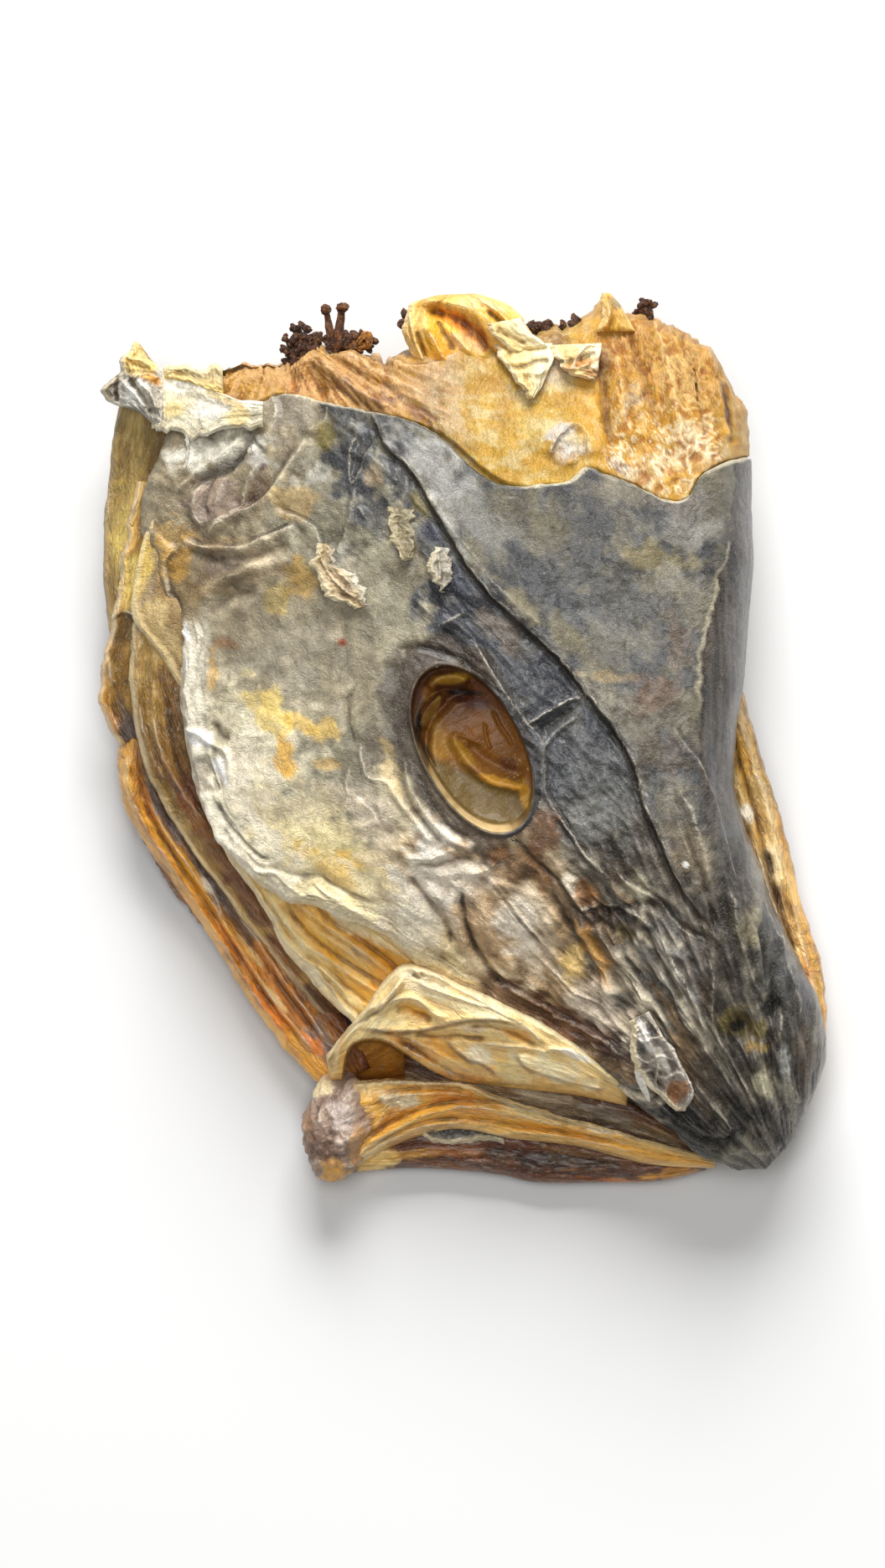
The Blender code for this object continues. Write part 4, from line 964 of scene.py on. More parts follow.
spread, swing = np.hypot(x + 44, y - 101), np.arctan2(101 - y, x + 44) * 32
fan_strands = creased(spread / 13 + 0.3 * ripple(x / 9, y / 9, 82), swing / 2.6, 83, 3) - 0.45
warp_x, warp_y = x + 2.2 * billow(x / 5, y / 5, 92, 2), y + 2.2 * billow(x / 5, y / 5, 95, 2)
net_strands = np.maximum(creased((warp_x + 0.35 * warp_y) / 2.1, (warp_y - 0.35 * warp_x) / 7, 84, 2),
                         creased((warp_x - 0.9 * warp_y) / 2.9, (warp_y + 0.9 * warp_x) / 8, 94, 2)) - 0.6
relief = 0.8 * billow(x / 11, y / 11, 81, 3) + 1.3 * fan * fan_strands + 1.2 * net * net_strands
relief += 0.3 * (creased((x + 0.3 * y) / 3, (along_wall - 0.25 * x) / 9, 85, 3) - 0.45)
relief += 1.4 * wall * (creased(z / 16, x / 2.6, 86, 3) - 0.45)
rosette = np.hypot(x - 24.5, y - 69.5)
relief += 1.2 * smooth((5.4 - rosette) / 1.4) * (0.6 + 0.5 * ripple(x / 1.4, y / 1.4, 87))
lines = no_lines(x)
for row in MUSCLE_FOLDS:
    relief += fold(x, y, lines, *row)
lines[..., 3] *= 0.4
muscle = np.stack([x, y, z], axis=-1)
below_skin = 1.3 + 2.1 * smooth((skin_cut(x) + 0.3 - y) / 1)
level = 2.2 * smooth(0.5 + 0.75 * past_brow(x, y) / 7)
relief *= 0.4 + 0.6 * smooth((y - skin_cut(x)) / 2.5)
muscle -= normals(muscle) * ((relief + level - below_skin) * smooth(rise / 0.25))[..., None]
muscle[-1] += (0, -1.8, -0.6)
tone = plain(x, dye(214, 172, 98))
stain(tone, x, y, [
    (190, 142, 86, 0.9, -28, 86, 14, 9, -25), (164, 126, 92, 0.8, -22, 81, 11, 3.4, -28),
    (196, 164, 130, 0.8, -14, 79, 6, 2.4, -30), (236, 196, 130, 0.7, -36, 93, 4, 3),
    (222, 176, 96, 0.8, -52, 86, 9, 4), (196, 130, 56, 0.7, -40, 85, 3, 3),
    (232, 204, 146, 0.8, -6, 84, 9, 5, -15), (196, 150, 78, 0.7, 5, 86, 5, 4, -10),
    (218, 172, 84, 0.8, 12, 68, 14, 6, -10), (238, 214, 158, 0.7, -4, 76, 7, 3, -30),
    (226, 194, 120, 0.7, 14, 76, 8, 5, -20), (196, 150, 88, 0.7, 9, 78, 3, 5, 20),
    (244, 230, 190, 0.95, 24.5, 69.5, 4.5, 4), (222, 204, 166, 0.7, 19, 88, 8, 6, -20),
    (150, 108, 62, 0.8, 22, 93, 9, 3, -10), (216, 168, 92, 0.8, 28, 80, 4, 8, 10),
    (222, 178, 102, 0.8, 42, 84, 10, 14, 15), (160, 112, 54, 0.85, 36, 92, 7, 5),
    (236, 210, 150, 0.8, 52, 88, 6, 8, 20), (238, 218, 172, 0.8, 54, 70, 6, 6),
    (216, 206, 186, 0.8, 40, 81, 2, 4, -30), (116, 76, 50, 0.9, 61.2, 78, 1.1, 7, 8),
    (206, 160, 90, 0.7, 64, 80, 2, 8), (132, 100, 66, 0.8, 33.5, 84, 1.3, 8, 2),
    (156, 146, 130, 0.9, 38, 63.5, 6, 1.6, -25), (230, 208, 158, 0.7, 46, 64, 6, 5),
], 0.6, 88)
tint(tone, wall, dye(150, 110, 62))
middle = smooth((x + 8) / 10) * smooth((32 - x) / 4) * smooth((92 - y) / 6)
tint(tone, (0.5 - 0.3 * middle) * smooth(billow(x / 3, along_wall / 3, 89, 4) / 0.5), dye(196, 146, 74))
tint(tone, (0.5 - 0.3 * middle) * smooth(-billow(x / 2, along_wall / 3, 93, 4) / 0.5), dye(238, 210, 150))
tint(tone, 0.6 * middle * smooth(billow(x / 9, y / 4, 97, 4) / 0.5), dye(240, 214, 150))
tint(tone, 0.5 * middle * smooth(-billow(x / 9, y / 4, 97, 4) / 0.5), dye(206, 156, 72))
tint(tone, 0.8 * fan * smooth(fan_strands / 0.25), dye(232, 190, 132))
tint(tone, 0.8 * fan * smooth(-fan_strands / 0.25), dye(150, 98, 56))
tint(tone, 0.85 * net * smooth((net_strands - 0.16) / 0.12), dye(250, 232, 190))
tint(tone, 0.8 * net * smooth((net_strands - 0.16) / 0.12) * smooth((y - 76) / 8), dye(214, 162, 92))
tint(tone, 0.7 * net * smooth((0.05 - net_strands) / 0.2), dye(190, 132, 62))
# pale crests are painted highlight, dark hollows painted shade
crest_light_and_shade = relief - blur(relief, 8)
tint(tone, (0.6 - 0.3 * middle) * smooth(crest_light_and_shade / 0.45), tone * 1.35 + 0.06)
tint(tone, (0.7 - 0.3 * middle) * smooth(-crest_light_and_shade / 0.5), tone * (0.6, 0.45, 0.26))
tone *= (0.7, 0.69, 0.8)
tint(tone, fan, tone * (0.86, 0.84, 0.88))
tint(tone, net * smooth((y - 70) / 8), tone * (0.82, 0.76, 0.56))
tint(tone, smooth((x + 16) / 10) * smooth((30 - x) / 6), tone * (0.9, 1, 1.3))
flesh_look = hide_finish(
    "dried_flesh", flecks=0.3, hairs=0.2, wrinkle=0.25, bump=0.7, rough=0.42, along=0.35,
    Subsurface_Weight=0.12, Subsurface_Radius=(1, 0.55, 0.25), Subsurface_Scale=0.003,
)
join("neck_flesh", flesh_look, surface(muscle, tone, lines=lines))

# ---- The underside ----
# The other cheek, pressed flat by the head's own weight. It is hidden, and gets the same plain skin.
TUCK, TUCK_UP = 0.6, 3  # how far its edge lies inside the torn wall, and above the wall's foot
x, y, left, right = head_grid(lambda at: neck_end(at) - TUCK, 64, 78, ((24, 26), (18, 14), (14, 14)))
y = y + (neck_end(x[0]) - TUCK - y[0]) * smooth(1 - (y[0] - y) / 12)
edge = rim_height(x, y, left, right)
belly = BELLY_CURVE * (x**2 - FLAT_HALF_X**2 + (FLAT_HALF_X / FLAT_HALF_Y) ** 2 * (y - 5) ** 2)
belly = np.clip(belly, 0, edge - 4)
neck_gap = neck_end(x) - TUCK - y
fall = quarter_round(x - left, 26) * quarter_round(right - x, 14)
fall = fall * quarter_round(neck_gap, 6) * quarter_round(y - TIP_Y, 14)
z = edge - (edge - belly) * fall + TUCK_UP * (1 - smooth(neck_gap / 0.5))
relief = 0.5 * billow(x / 12, y / 12, 90, 4) * smooth(belly / 4) * smooth(fall / 0.3)
tone = plain(x, dye(148, 130, 100))
tint(tone, smooth(billow(x / 11, y / 11, 91, 5) / 0.7), dye(196, 178, 140))
tint(tone, smooth(billow(x / 9, y / 9, 96, 5) / 0.8), dye(110, 96, 78))
bottom = np.stack([x, y, np.maximum(z + relief, 0.05)], axis=-1)[:, ::-1]
under_side = join("underside", hide_look, surface(bottom, tone[:, ::-1]))
under_side.data.flip_normals()

# ---- The gill covers ----
# Three leathery leaves fan out from under the cheek, one over the next. They were the soft border of
# the gill cover and dried as thin brown skin with strands running along them.


def crowd(count, amount):
    """count shares from 0 to 1, closer together towards both ends."""
    t = np.linspace(0, 1, count)
    return t - amount * np.sin(2 * np.pi * t) / (2 * np.pi)


def strip(rail_a, rail_b, bulge, cells, across, strands, stains=(), folds=(), sinks=(),
          ragged=0.4, torn=0, hem=0, seed=0, rest=None):
    """A strip of dried tissue ruled between two smooth curves, each given as x, y and z in turn: u
    crosses it from the first to the second, v runs along it. It bulges above and below that surface
    by a quarter round at each side and end. Strands follow v, with that spacing, height and length,
    and across gives red, green and blue by u. sinks are paths on whose right the surface drops, and
    rest is a height the curves stand on."""
    (columns, rows), (up, down), (spacing, height, length) = cells, bulge, strands
    u, v = crowd(columns, 0.8)[None, :], crowd(rows, 0.5)[:, None]
    edge_a, edge_b = (curve(np.reshape(rail, (-1, 3)), 240) for rail in (rail_a, rail_b))
    at = np.linspace(0, 1, 240)
    a, b = (np.stack([np.interp(v[:, 0], at, part) for part in edge.T], axis=-1) for edge in (edge_a, edge_b))
    span = np.linalg.norm((b - a)[:, :2], axis=-1)
    outward = (a - b)[:, :2] / span[:, None]
    run = np.concatenate([[0], np.cumsum(np.linalg.norm(np.diff((a + b) / 2, axis=0), axis=-1))])
    fray, tear = smooth(np.minimum(v, 1 - v) / 0.06), min(6, run[-1] / 5)
    a[:, :2] += outward * ragged * fray * billow(run / tear, 0 * run + 0.5, seed + 11, 4)[:, None]
    b[:, :2] += outward * torn * fray * billow(run / tear, 0 * run + 9.5, seed + 11, 4)[:, None]
    points = a[:, None] + (b - a)[:, None] * u[..., None]
    x, y = points[..., 0], points[..., 1]
    if rest is not None:
        points[..., 2] += rest(x, y)
    wide, far = u * span.mean(), run[:, None] + 0 * u
    sway = 0.5 * ripple(far / 17, wide / 7, seed + 12) + 0.25 * ripple(far / 6, wide / 3, seed + 17)
    fine = creased(far / (0.5 * length), wide / (0.4 * spacing) + sway, seed + 4, 2) - 0.45
    relief = 2 * height * (creased(far / length, wide / spacing + sway, seed, 3) - 0.45)
    relief += 0.6 * height * fine
    relief += 0.7 * height * billow(far / 9, wide / 6, seed + 7, 4)
    lines = no_lines(x)
    for row in folds:
        relief += fold(x, y, lines, *row)
    lines[..., 3] *= 0.6
    rim = u * span[:, None]
    relief += hem * (np.exp(-(((rim - 1.1) / 0.7) ** 2)) - 0.6 * np.exp(-(((rim - 2.8) / 0.8) ** 2)))
    swell = quarter_round(np.minimum(u, 1 - u), 0.3) * quarter_round(np.minimum(v, 1 - v), 0.12)
    top = points.copy()
    top[..., 2] += swell * up + relief * smooth(swell / 0.45)
    under = points.copy()
    under[..., 2] = np.maximum(points[..., 2] - swell * down + 0.5 * relief * smooth(swell / 0.45), 0.1)
    deep = [smooth(-beside(x, y, path, 14)[0] / width) * smooth(swell / 0.3) for path, _, width, _ in sinks]
    for share, (_, depth, _, _) in zip(deep, sinks):
        top[..., 2] -= depth * share
        under[..., 2] = np.minimum(under[..., 2], top[..., 2] - 0.8 * smooth(swell / 0.2))
    stops, hues = [stop for stop, *_ in across], np.array([dye(*hue) for _, *hue in across])
    drift = u + 0.07 * billow(far / 14, wide / 4, seed + 13, 4)
    tone = np.stack([np.interp(drift, stops, hues[:, i]) for i in range(3)], axis=-1)
    stain(tone, x, y, stains, 0.4, seed + 14)
    for share, (_, _, _, colour) in zip(deep, sinks):
        tint(tone, share, colour)
    patch = billow(far / 8, wide / 3.4, seed + 21, 4)
    tint(tone, 0.5 * smooth(patch / 0.6), tone * 1.25 + (0.04, 0.03, 0.015))
    tint(tone, 0.5 * smooth(-patch / 0.6), tone * (0.74, 0.65, 0.54))
    streak = billow(far / 26, wide / 1.3 + sway, seed + 15, 3)
    tint(tone, 0.3 * smooth(streak / 0.5), tone * 1.3 + (0.03, 0.024, 0.014))
    tint(tone, 0.35 * smooth(-streak / 0.5), tone * (0.66, 0.56, 0.44))
    # pale crests are painted highlight, dark hollows painted shade
    crest_light_and_shade = relief - blur(relief, 6)
    tint(tone, 0.6 * smooth((crest_light_and_shade - 0.04) / 0.3), tone * 1.35 + (0.09, 0.075, 0.045))
    tint(tone, 0.75 * smooth((-crest_light_and_shade - 0.03) / 0.4), tone * (0.46, 0.37, 0.27))
    tint(tone, hem * np.exp(-(((rim - 0.7) / 0.6) ** 2)), dye(230, 214, 176))
    return surface(top, tone, under=under, lines=lines, grain=np.stack([wide + 0 * far, far], axis=-1))


def ball(centre, half, turn, cells, rough, hues, seed, stains=()):
    """A closed lump: an ellipsoid turned by that many degrees, its radius uneven by waves of that
    length and height. Its colours are a base, a dark one painted into its dents as shade, a pale
    one painted onto its bumps as highlight, and stains."""
    (rows, cols), (length, height) = cells, rough
    polar = np.linspace(0, np.pi, rows)[:, None]
    around = np.linspace(0, 2 * np.pi, cols, endpoint=False)[None, :]
    ring = np.sin(polar)
    shape = np.stack([ring * np.cos(around), ring * np.sin(around), np.cos(polar) + 0 * around], axis=-1)
    shape[[0, -1], :, :2] = 0
    place = shape * half
    a, b = place[..., 0] + 0.6 * place[..., 2] + centre[0], place[..., 1] + 0.5 * place[..., 2] + centre[1]
    a, b = a / length, b / length
    uneven = billow(a, b, seed, 4) + 1.2 * (creased(a, b, seed + 5, 3) - 0.45)
    place = place + shape * (height * uneven * smooth(ring / 0.3))[..., None]
    c, s = np.cos(np.radians(turn)), np.sin(np.radians(turn))
    x = centre[0] + c * place[..., 0] - s * place[..., 1]
    y = centre[1] + s * place[..., 0] + c * place[..., 1]
    z = np.maximum(centre[2] + place[..., 2], 0.1)
    base, dark, pale = hues
    tone = plain(x, base)
    # dark in the dents and pale on the bumps: painted shade and painted highlight
    tint(tone, smooth(0.2 - uneven / 0.9), dark)
    tint(tone, smooth((uneven - 0.35) / 0.6), pale)
    stain(tone, x, y, stains, 0.6, seed + 9)
    return surface(np.stack([x, y, z], axis=-1), tone, loop=True)


sinew_look = hide_finish(
    "dried_sinew", flecks=0.3, hairs=0.55, wrinkle=0.5, bump=0.8, rough=0.34, along=0.2, Coat_Weight=0.3,
    Coat_Roughness=0.25, Subsurface_Weight=0.1, Subsurface_Radius=(1, 0.5, 0.2), Subsurface_Scale=0.002,
)
lip_look = hide_finish(
    "dried_lip_skin", flecks=0.22, hairs=0.45, wrinkle=0.3, bump=0.65, rough=0.36, along=0.3, Coat_Weight=0.2,
    Coat_Roughness=0.3, Subsurface_Weight=0.12, Subsurface_Radius=(1, 0.6, 0.3), Subsurface_Scale=0.002,
)
join("gill_cover_outer", sinew_look, strip(
    [-80.5, 84, 25, -84, 64, 20, -85.2, 46, 17, -84.6, 32, 15, -82, 18, 14],
    [-55, 84, 30, -55, 64, 27, -55, 46, 25, -55, 32, 23, -55, 18, 21],
    (2.5, 4), (58, 99),
    [(0, 150, 128, 92), (0.06, 172, 150, 104), (0.2, 176, 154, 104), (0.5, 110, 84, 52)],
    (3.6, 0.22, 30), stains=[
        (206, 184, 120, 0.9, -80.5, 47, 3.4, 9), (140, 116, 76, 0.8, -82, 66, 4, 10),
        (168, 146, 96, 0.8, -80, 60, 2.6, 3), (126, 100, 66, 0.7, -84, 34, 2.4, 8),
    ], ragged=0.3, hem=0.15, seed=100,
))
join("gill_cover_middle", sinew_look, strip(
    [-77, 62, 29, -81, 42, 26, -83.5, 29, 23, -85.8, 16, 20, -86.4, 9, 18, -82, 0, 16, -77, -8, 15],
    [-50, 62, 33, -50, 42, 32, -50, 29, 30, -50, 16, 28, -50, 9, 26, -50, 0, 24, -50, -8, 22],
    (3, 4.5), (63, 135),
    [(0, 182, 146, 94), (0.08, 160, 130, 84), (0.22, 128, 100, 62), (0.5, 96, 72, 44)],
    (3.2, 0.3, 24), stains=[
        (214, 190, 126, 0.95, -78, 38, 4, 8, -8), (104, 84, 52, 0.9, -80, 27, 3, 4.6),
        (116, 90, 56, 0.7, -81, 19, 2.6, 6), (196, 148, 88, 0.8, -85, 12, 2.4, 6),
        (176, 122, 74, 0.7, -83, 5, 2.6, 4, -30), (96, 84, 84, 0.9, -79.5, 4, 2.4, 7, 18),
    ], folds=[(1, 0.7, [-84, 29, -80, 31, -76, 28], "lap"),
              (0.7, 0.6, [-84, 21, -83.4, 14, -83.6, 8, -81, 2])],
    ragged=0.9, hem=0.5, seed=120,
))
join("gill_cover_inner", sinew_look, strip(
    [-72, 52, 32, -77, 34, 29, -78.8, 19, 27, -77.5, 3, 25, -73, -11, 22, -65, -24, 19, -55, -38, 17,
     -44, -52, 16, -33, -66, 15],
    [-46, 52, 36, -46, 34, 35, -46, 19, 34, -44, 3, 32, -40, -11, 29, -34, -24, 27, -26, -36, 25,
     -18, -46, 24, -12, -56, 22],
    (3, 5), (86, 198),
    # the colours darken towards the second rail, next to the cheek's edge: painted shade
    [(0, 168, 146, 106), (0.05, 150, 124, 84), (0.16, 142, 114, 74), (0.3, 118, 90, 56),
     (0.42, 100, 74, 42), (0.6, 76, 54, 28)],
    (3.4, 0.32, 26), stains=[
        (178, 152, 104, 0.7, -75, 22, 4, 8), (160, 130, 84, 0.6, -74, 8, 4, 8),
        (126, 96, 58, 0.8, -71, -3, 4, 9, 20), (104, 80, 52, 0.8, -68, 6, 2.6, 9, 4),
        (110, 72, 36, 0.8, -65, -12, 4, 8, 30), (138, 92, 48, 0.7, -63, -18, 2.4, 7, 36),
        (104, 72, 36, 0.8, -56, -27, 4, 10, 36), (96, 64, 28, 0.8, -50, -38, 3, 10, 38),
        (112, 72, 30, 0.6, -42, -52, 3, 10, 40), (70, 42, 14, 0.8, -34, -62, 4, 8, 40),
    ], folds=[(0.6, 0.6, [-76, 26, -77, 18, -76.5, 8, -74, -2, -70, -10]),
              (0.6, 0.5, [-73, 16, -73, 6, -71, -3, -66, -12, -60, -20]),
              (-0.8, 0.8, [-70, 12, -69.5, 4, -67.5, -5, -63, -14, -57, -23])],
    ragged=0.35, hem=0.45, seed=140,
))
# the slack corner of cheek skin that lies over the leaves
join("cheek_corner", hide_look, strip(
    [-73.5, 54, 34, -76.5, 44, 32, -78, 35, 31, -77.4, 28.5, 31, -72.5, 21.5, 31, -66.5, 12.5, 31.5],
    [-58, 56, 37, -58, 46, 36, -58, 36, 35, -58, 30, 35, -58, 24, 35, -59, 14, 34],
    (1.6, 2.5), (54, 81),
    [(0, 206, 188, 142), (0.05, 188, 166, 120), (0.3, 162, 140, 102), (1, 126, 104, 78)],
    (4, 0.16, 12), stains=[
        (214, 188, 120, 0.8, -76, 42, 2.6, 7, -10), (198, 178, 134, 0.7, -73, 30, 4, 5),
        (128, 98, 66, 0.8, -69, 38, 3, 5, -20), (180, 160, 120, 0.7, -69, 22, 3, 5),
        (122, 112, 104, 0.5, -74, 36, 1.4, 5, -20),
    ], ragged=0.3, hem=0.5, seed=160,
))

# ---- The throat ----
# Along the cheek's lower side run the rays that held the gill skin. They dried as long glossy amber
# strands, greyish on the inside, with a flaky dark fringe where the outermost one split.
join("throat_strips", sinew_look, strip(
    [-81, 6, 15, -82.4, -5, 14, -80, -16, 12, -73.5, -27, 10, -65, -39, 8, -57, -51, 8, -50, -62, 8,
     -42, -73, 9, -33, -82, 11],
    [-68, 8, 20, -66, -6, 19, -60, -17, 17, -52, -28, 15, -44, -38, 14, -38, -48, 13, -32, -58, 13,
     -26, -68, 14, -22, -77, 15],
    (4.5, 5.5), (99, 234),
    [(0, 196, 150, 90), (0.08, 206, 164, 104), (0.15, 164, 116, 64), (0.22, 200, 154, 92),
     (0.3, 190, 142, 80), (0.37, 140, 108, 80), (0.44, 108, 94, 88), (0.54, 100, 86, 80),
     (0.62, 110, 82, 54), (0.74, 112, 78, 42), (0.88, 98, 66, 30), (1, 80, 52, 22)],
    (4.2, 0.55, 36), stains=[
        (222, 178, 108, 0.7, -79.5, -8, 2, 8, 10), (188, 120, 46, 0.55, -75.5, -12, 1.6, 8, 20),
        (230, 178, 84, 0.6, -64.5, -31, 1.6, 8, 33), (120, 104, 98, 0.8, -71, -16, 2, 9, 28),
        (110, 92, 84, 0.8, -62, -26, 2.2, 9, 34), (232, 222, 206, 0.8, -60.6, -34, 0.9, 3, 30),
        (112, 80, 52, 0.7, -70, -32, 1.6, 6, 35), (204, 140, 66, 0.55, -57, -45, 1.7, 7, 34),
        (150, 96, 46, 0.7, -52, -52, 1.2, 8, 36), (206, 128, 52, 0.55, -46, -62, 2, 8, 40),
        (178, 124, 66, 0.8, -46, -55, 4, 12, 38), (152, 106, 58, 0.8, -40, -63, 4, 10, 40),
        (226, 196, 146, 0.8, -50, -50, 0.9, 8, 36), (236, 206, 152, 0.8, -45, -60, 0.8, 7, 40),
        (214, 168, 98, 0.55, -38, -77, 2, 7, 45), (176, 112, 46, 0.7, -36, -71, 1.4, 6, 45),
    ], folds=[
        (1.2, 1, [-79, 2, -79.5, -8, -76.5, -18, -70, -28, -62, -40, -55, -51, -48, -62, -40, -73]),
        (-1.3, 0.9, [-77, -2, -76, -12, -71.5, -22, -64.5, -33, -58, -43, -51, -54, -44, -64, -36, -74]),
        (1.1, 0.8, [-75, -12, -70, -22, -64, -31, -59.5, -38, -54, -47, -47, -58, -40, -67, -34, -74]),
        (-1.2, 0.7, [-74, -8, -69, -18, -63.5, -27, -59, -34]),
        (0.9, 0.6, [-62.5, -30, -60, -34, -58, -38, -57, -42]),
        (-1.4, 0.9, [-56, -40, -51, -47, -46, -54, -41, -61, -35, -69]),
        (0.9, 0.7, [-54, -40, -48, -48, -42, -57, -36, -65, -32, -71]),
        (0.8, 0.5, [-45, -62, -41, -66, -38, -70, -35, -74]),
    ], ragged=0.45, seed=180,
))
join("throat_fringe", sinew_look, strip(
    [-77, -21, 8, -74.5, -26.5, 7, -70.5, -33, 6, -66.5, -38.5, 5, -62, -43.6, 5, -56.5, -49.5, 5],
    [-73, -21, 11, -69, -28, 10, -65, -34, 9, -61, -39, 9, -57.5, -44, 9, -54, -50, 8],
    (1.4, 3), (31, 117), [(0, 112, 78, 48), (0.3, 134, 96, 58), (1, 150, 104, 56)],
    (1.8, 0.4, 5), ragged=1.3, seed=200,
))

# ---- The cheek's pleated skirt ----
# Below the cheek plate its skin hangs in pleats that narrow towards the corner of the mouth. It is
# cream along its two thin edges and amber in the folds.
SKIRT_FOLDS = [
    (1.1, 0.7, [-57, -20, -50.5, -32, -45.5, -40, -42, -46.5, -37, -51.5, -31, -58, -27, -65]),
    (-1.3, 0.8, [-56.5, -23, -51.5, -33, -47, -40.5, -43.5, -47.5, -38.5, -53, -33, -59]),
    (1.1, 0.8, [-47, -35, -42.5, -42, -37.5, -47.5, -30.5, -52, -24, -56.5, -17.5, -60]),
    (-1.2, 0.8, [-42, -38, -37, -44.5, -30.5, -49.5, -23, -54.5, -16.5, -58.5]),
    (0.9, 0.7, [-41, -36, -35, -41, -29, -45.5, -22, -50.5, -15.5, -56]),
    (-1.1, 0.8, [-36, -37, -31, -42, -25, -45.8, -19, -50, -14.5, -54]),
    (1.5, 0.9, [-25, -41.5, -22, -44, -18.5, -47, -15, -49.5, -11, -52.5]),
    (-1.2, 0.9, [-27, -45, -22, -48, -17, -52, -14.5, -56]),
    (0.8, 0.5, [-40, -49.5, -34, -53, -29, -57.5, -26, -63]),
    (-0.9, 0.6, [-38, -49.5, -32, -53.5, -27, -58, -22, -61.5]),
    (0.7, 0.5, [-37, -42, -31, -46.5, -25.5, -50.5, -21, -53.5]),
    (1.3, 1.5, [-32, -40.5, -28.5, -40, -25.5, -42]),
]
join("cheek_skirt", lip_look, strip(
    [-60, -15, 31, -56, -26, 29, -51, -33, 27, -46, -41, 26, -42, -49, 25, -36, -56, 24, -30, -62.5, 24,
     -25, -67.5, 24],
    [-42, -10, 37, -38, -19, 36, -32, -26, 35, -26, -32, 34, -20, -38, 33, -14, -43, 32, -8, -48, 31,
     -5, -54, 30],
    (4, 4.5), (117, 198),
    [(0, 238, 228, 198), (0.04, 226, 210, 168), (0.09, 158, 130, 84), (0.14, 224, 204, 154),
     (0.2, 226, 202, 148), (0.3, 190, 150, 90), (0.45, 210, 176, 116), (0.6, 188, 146, 86),
     (0.8, 214, 182, 120), (1, 236, 216, 164)],
    (3.6, 0.36, 30), stains=[
        (196, 146, 84, 0.7, -20, -53.5, 5, 1.4, -42), (196, 146, 80, 0.7, -20, -58.5, 4, 1.2, -30),
        (196, 166, 116, 0.7, -28, -47, 6, 1.8, -32), (246, 232, 196, 0.8, -26, -43, 7, 2.2, -32),
        (226, 196, 138, 0.8, -25, -53, 5, 2.6, -38), (202, 184, 156, 0.8, -28, -40.3, 3.5, 1.6, -15),
        (160, 122, 72, 0.7, -40, -40, 3, 4, 40), (236, 220, 176, 0.7, -38, -49, 4, 1.6, -40),
        (238, 222, 178, 0.8, -19, -46.8, 6, 1, -36), (150, 110, 60, 0.7, -32, -60, 3, 1, -48),
        (140, 132, 122, 0.5, -24, -50, 5, 0.9, -38),
    ], folds=SKIRT_FOLDS, ragged=0.35, hem=0.7, seed=220,
))

# ---- The lip ----
# At the mouth's corner the lip's pale skin is drawn up to a peak and curls round a hollow. From
# there its folds run to the snout, one over the next.
LIP_FOLDS = [
    (1.6, 0.9, [-13.5, -53, -15.5, -57, -19, -60.8, -24.5, -64.2, -28.8, -67.4, -31.4, -71.5, -32.6, -76,
        -32.3, -80]),
    (1, 0.7, [-14, -55, -17, -60, -22, -64.5, -26.5, -68.5, -29.3, -73, -29.8, -78]),
    (-0.9, 0.6, [-15, -58, -19, -62.5, -24, -65.8, -28.3, -69, -30.8, -74, -31, -79]),
    (2.6, 1, [-25, -67.2, -18, -68, -13, -68, -8, -67.4, -3, -66, 2, -65.2, 9, -65.4, 14, -67.2], "lap"),
    (1.4, 0.9, [-21, -63.6, -17, -61, -13, -60, -9.5, -61.2, -7, -63.6, -3, -65]),
    (-1.3, 1.3, [-16, -63.4, -13, -62.6, -10, -63.8, -7, -65.4]),
    (0.9, 0.6, [-13, -54, -9, -57, -4, -59, 1, -60.6, 7, -63]),
    (1.2, 0.7, [-12.5, -52.5, -9, -55.5, -8.6, -53.4, -6, -54.5, -3.5, -57]),
    (-1.4, 0.7, [-12, -54.3, -10.5, -55.3, -9.2, -54.2]),
    (1, 0.7, [-2, -57.5, 3, -60, 8, -63, 13, -65.5, 17, -68.5, 18.5, -71]),
    (-1, 0.8, [1, -66.6, 7, -67, 13, -69, 18, -72]), (-1.3, 0.8, [-12, -68.6, -6, -69.4, 0, -69.2, 6, -70]),
    (1.1, 0.9, [-20, -69.6, -15, -71.3, -10, -74, -5, -77, 0, -79.4]),
    (-1, 0.7, [-16, -70, -11, -72.6, -6, -75.8, -1, -78.6, 4, -80]),
    (0.9, 0.7, [-13, -69.8, -8, -72, -3, -75, 3, -78]),
    (1.9, 0.8, [-4, -69.6, -1.5, -72.5, 1.5, -74.6, 5, -76, 9.5, -79.5], "lap"),
    (0.9, 0.6, [2, -70.5, 7, -71.2, 12, -71.6, 17, -72.2, 19, -73, 21, -72.2, 25, -72.6, 28, -75]),
    (1.8, 0.8, [12.5, -73, 14.5, -76.2, 18.5, -78, 24, -79.8, 30, -81.3, 34, -82], "lap"),
    (0.8, 1.4, [12, -75, 18, -76, 25, -78, 31, -80]), (-0.8, 0.8, [-2, -79.6, 6, -80.5, 14, -81, 24, -82]),
]
HOLLOW = [(-28.9, -81), (-28.4, -76), (-27.2, -72), (-24.6, -70), (-20.5, -69.6), (-17, -70.6), (-12, -74),
          (-7, -77.3), (-1, -80.3)]
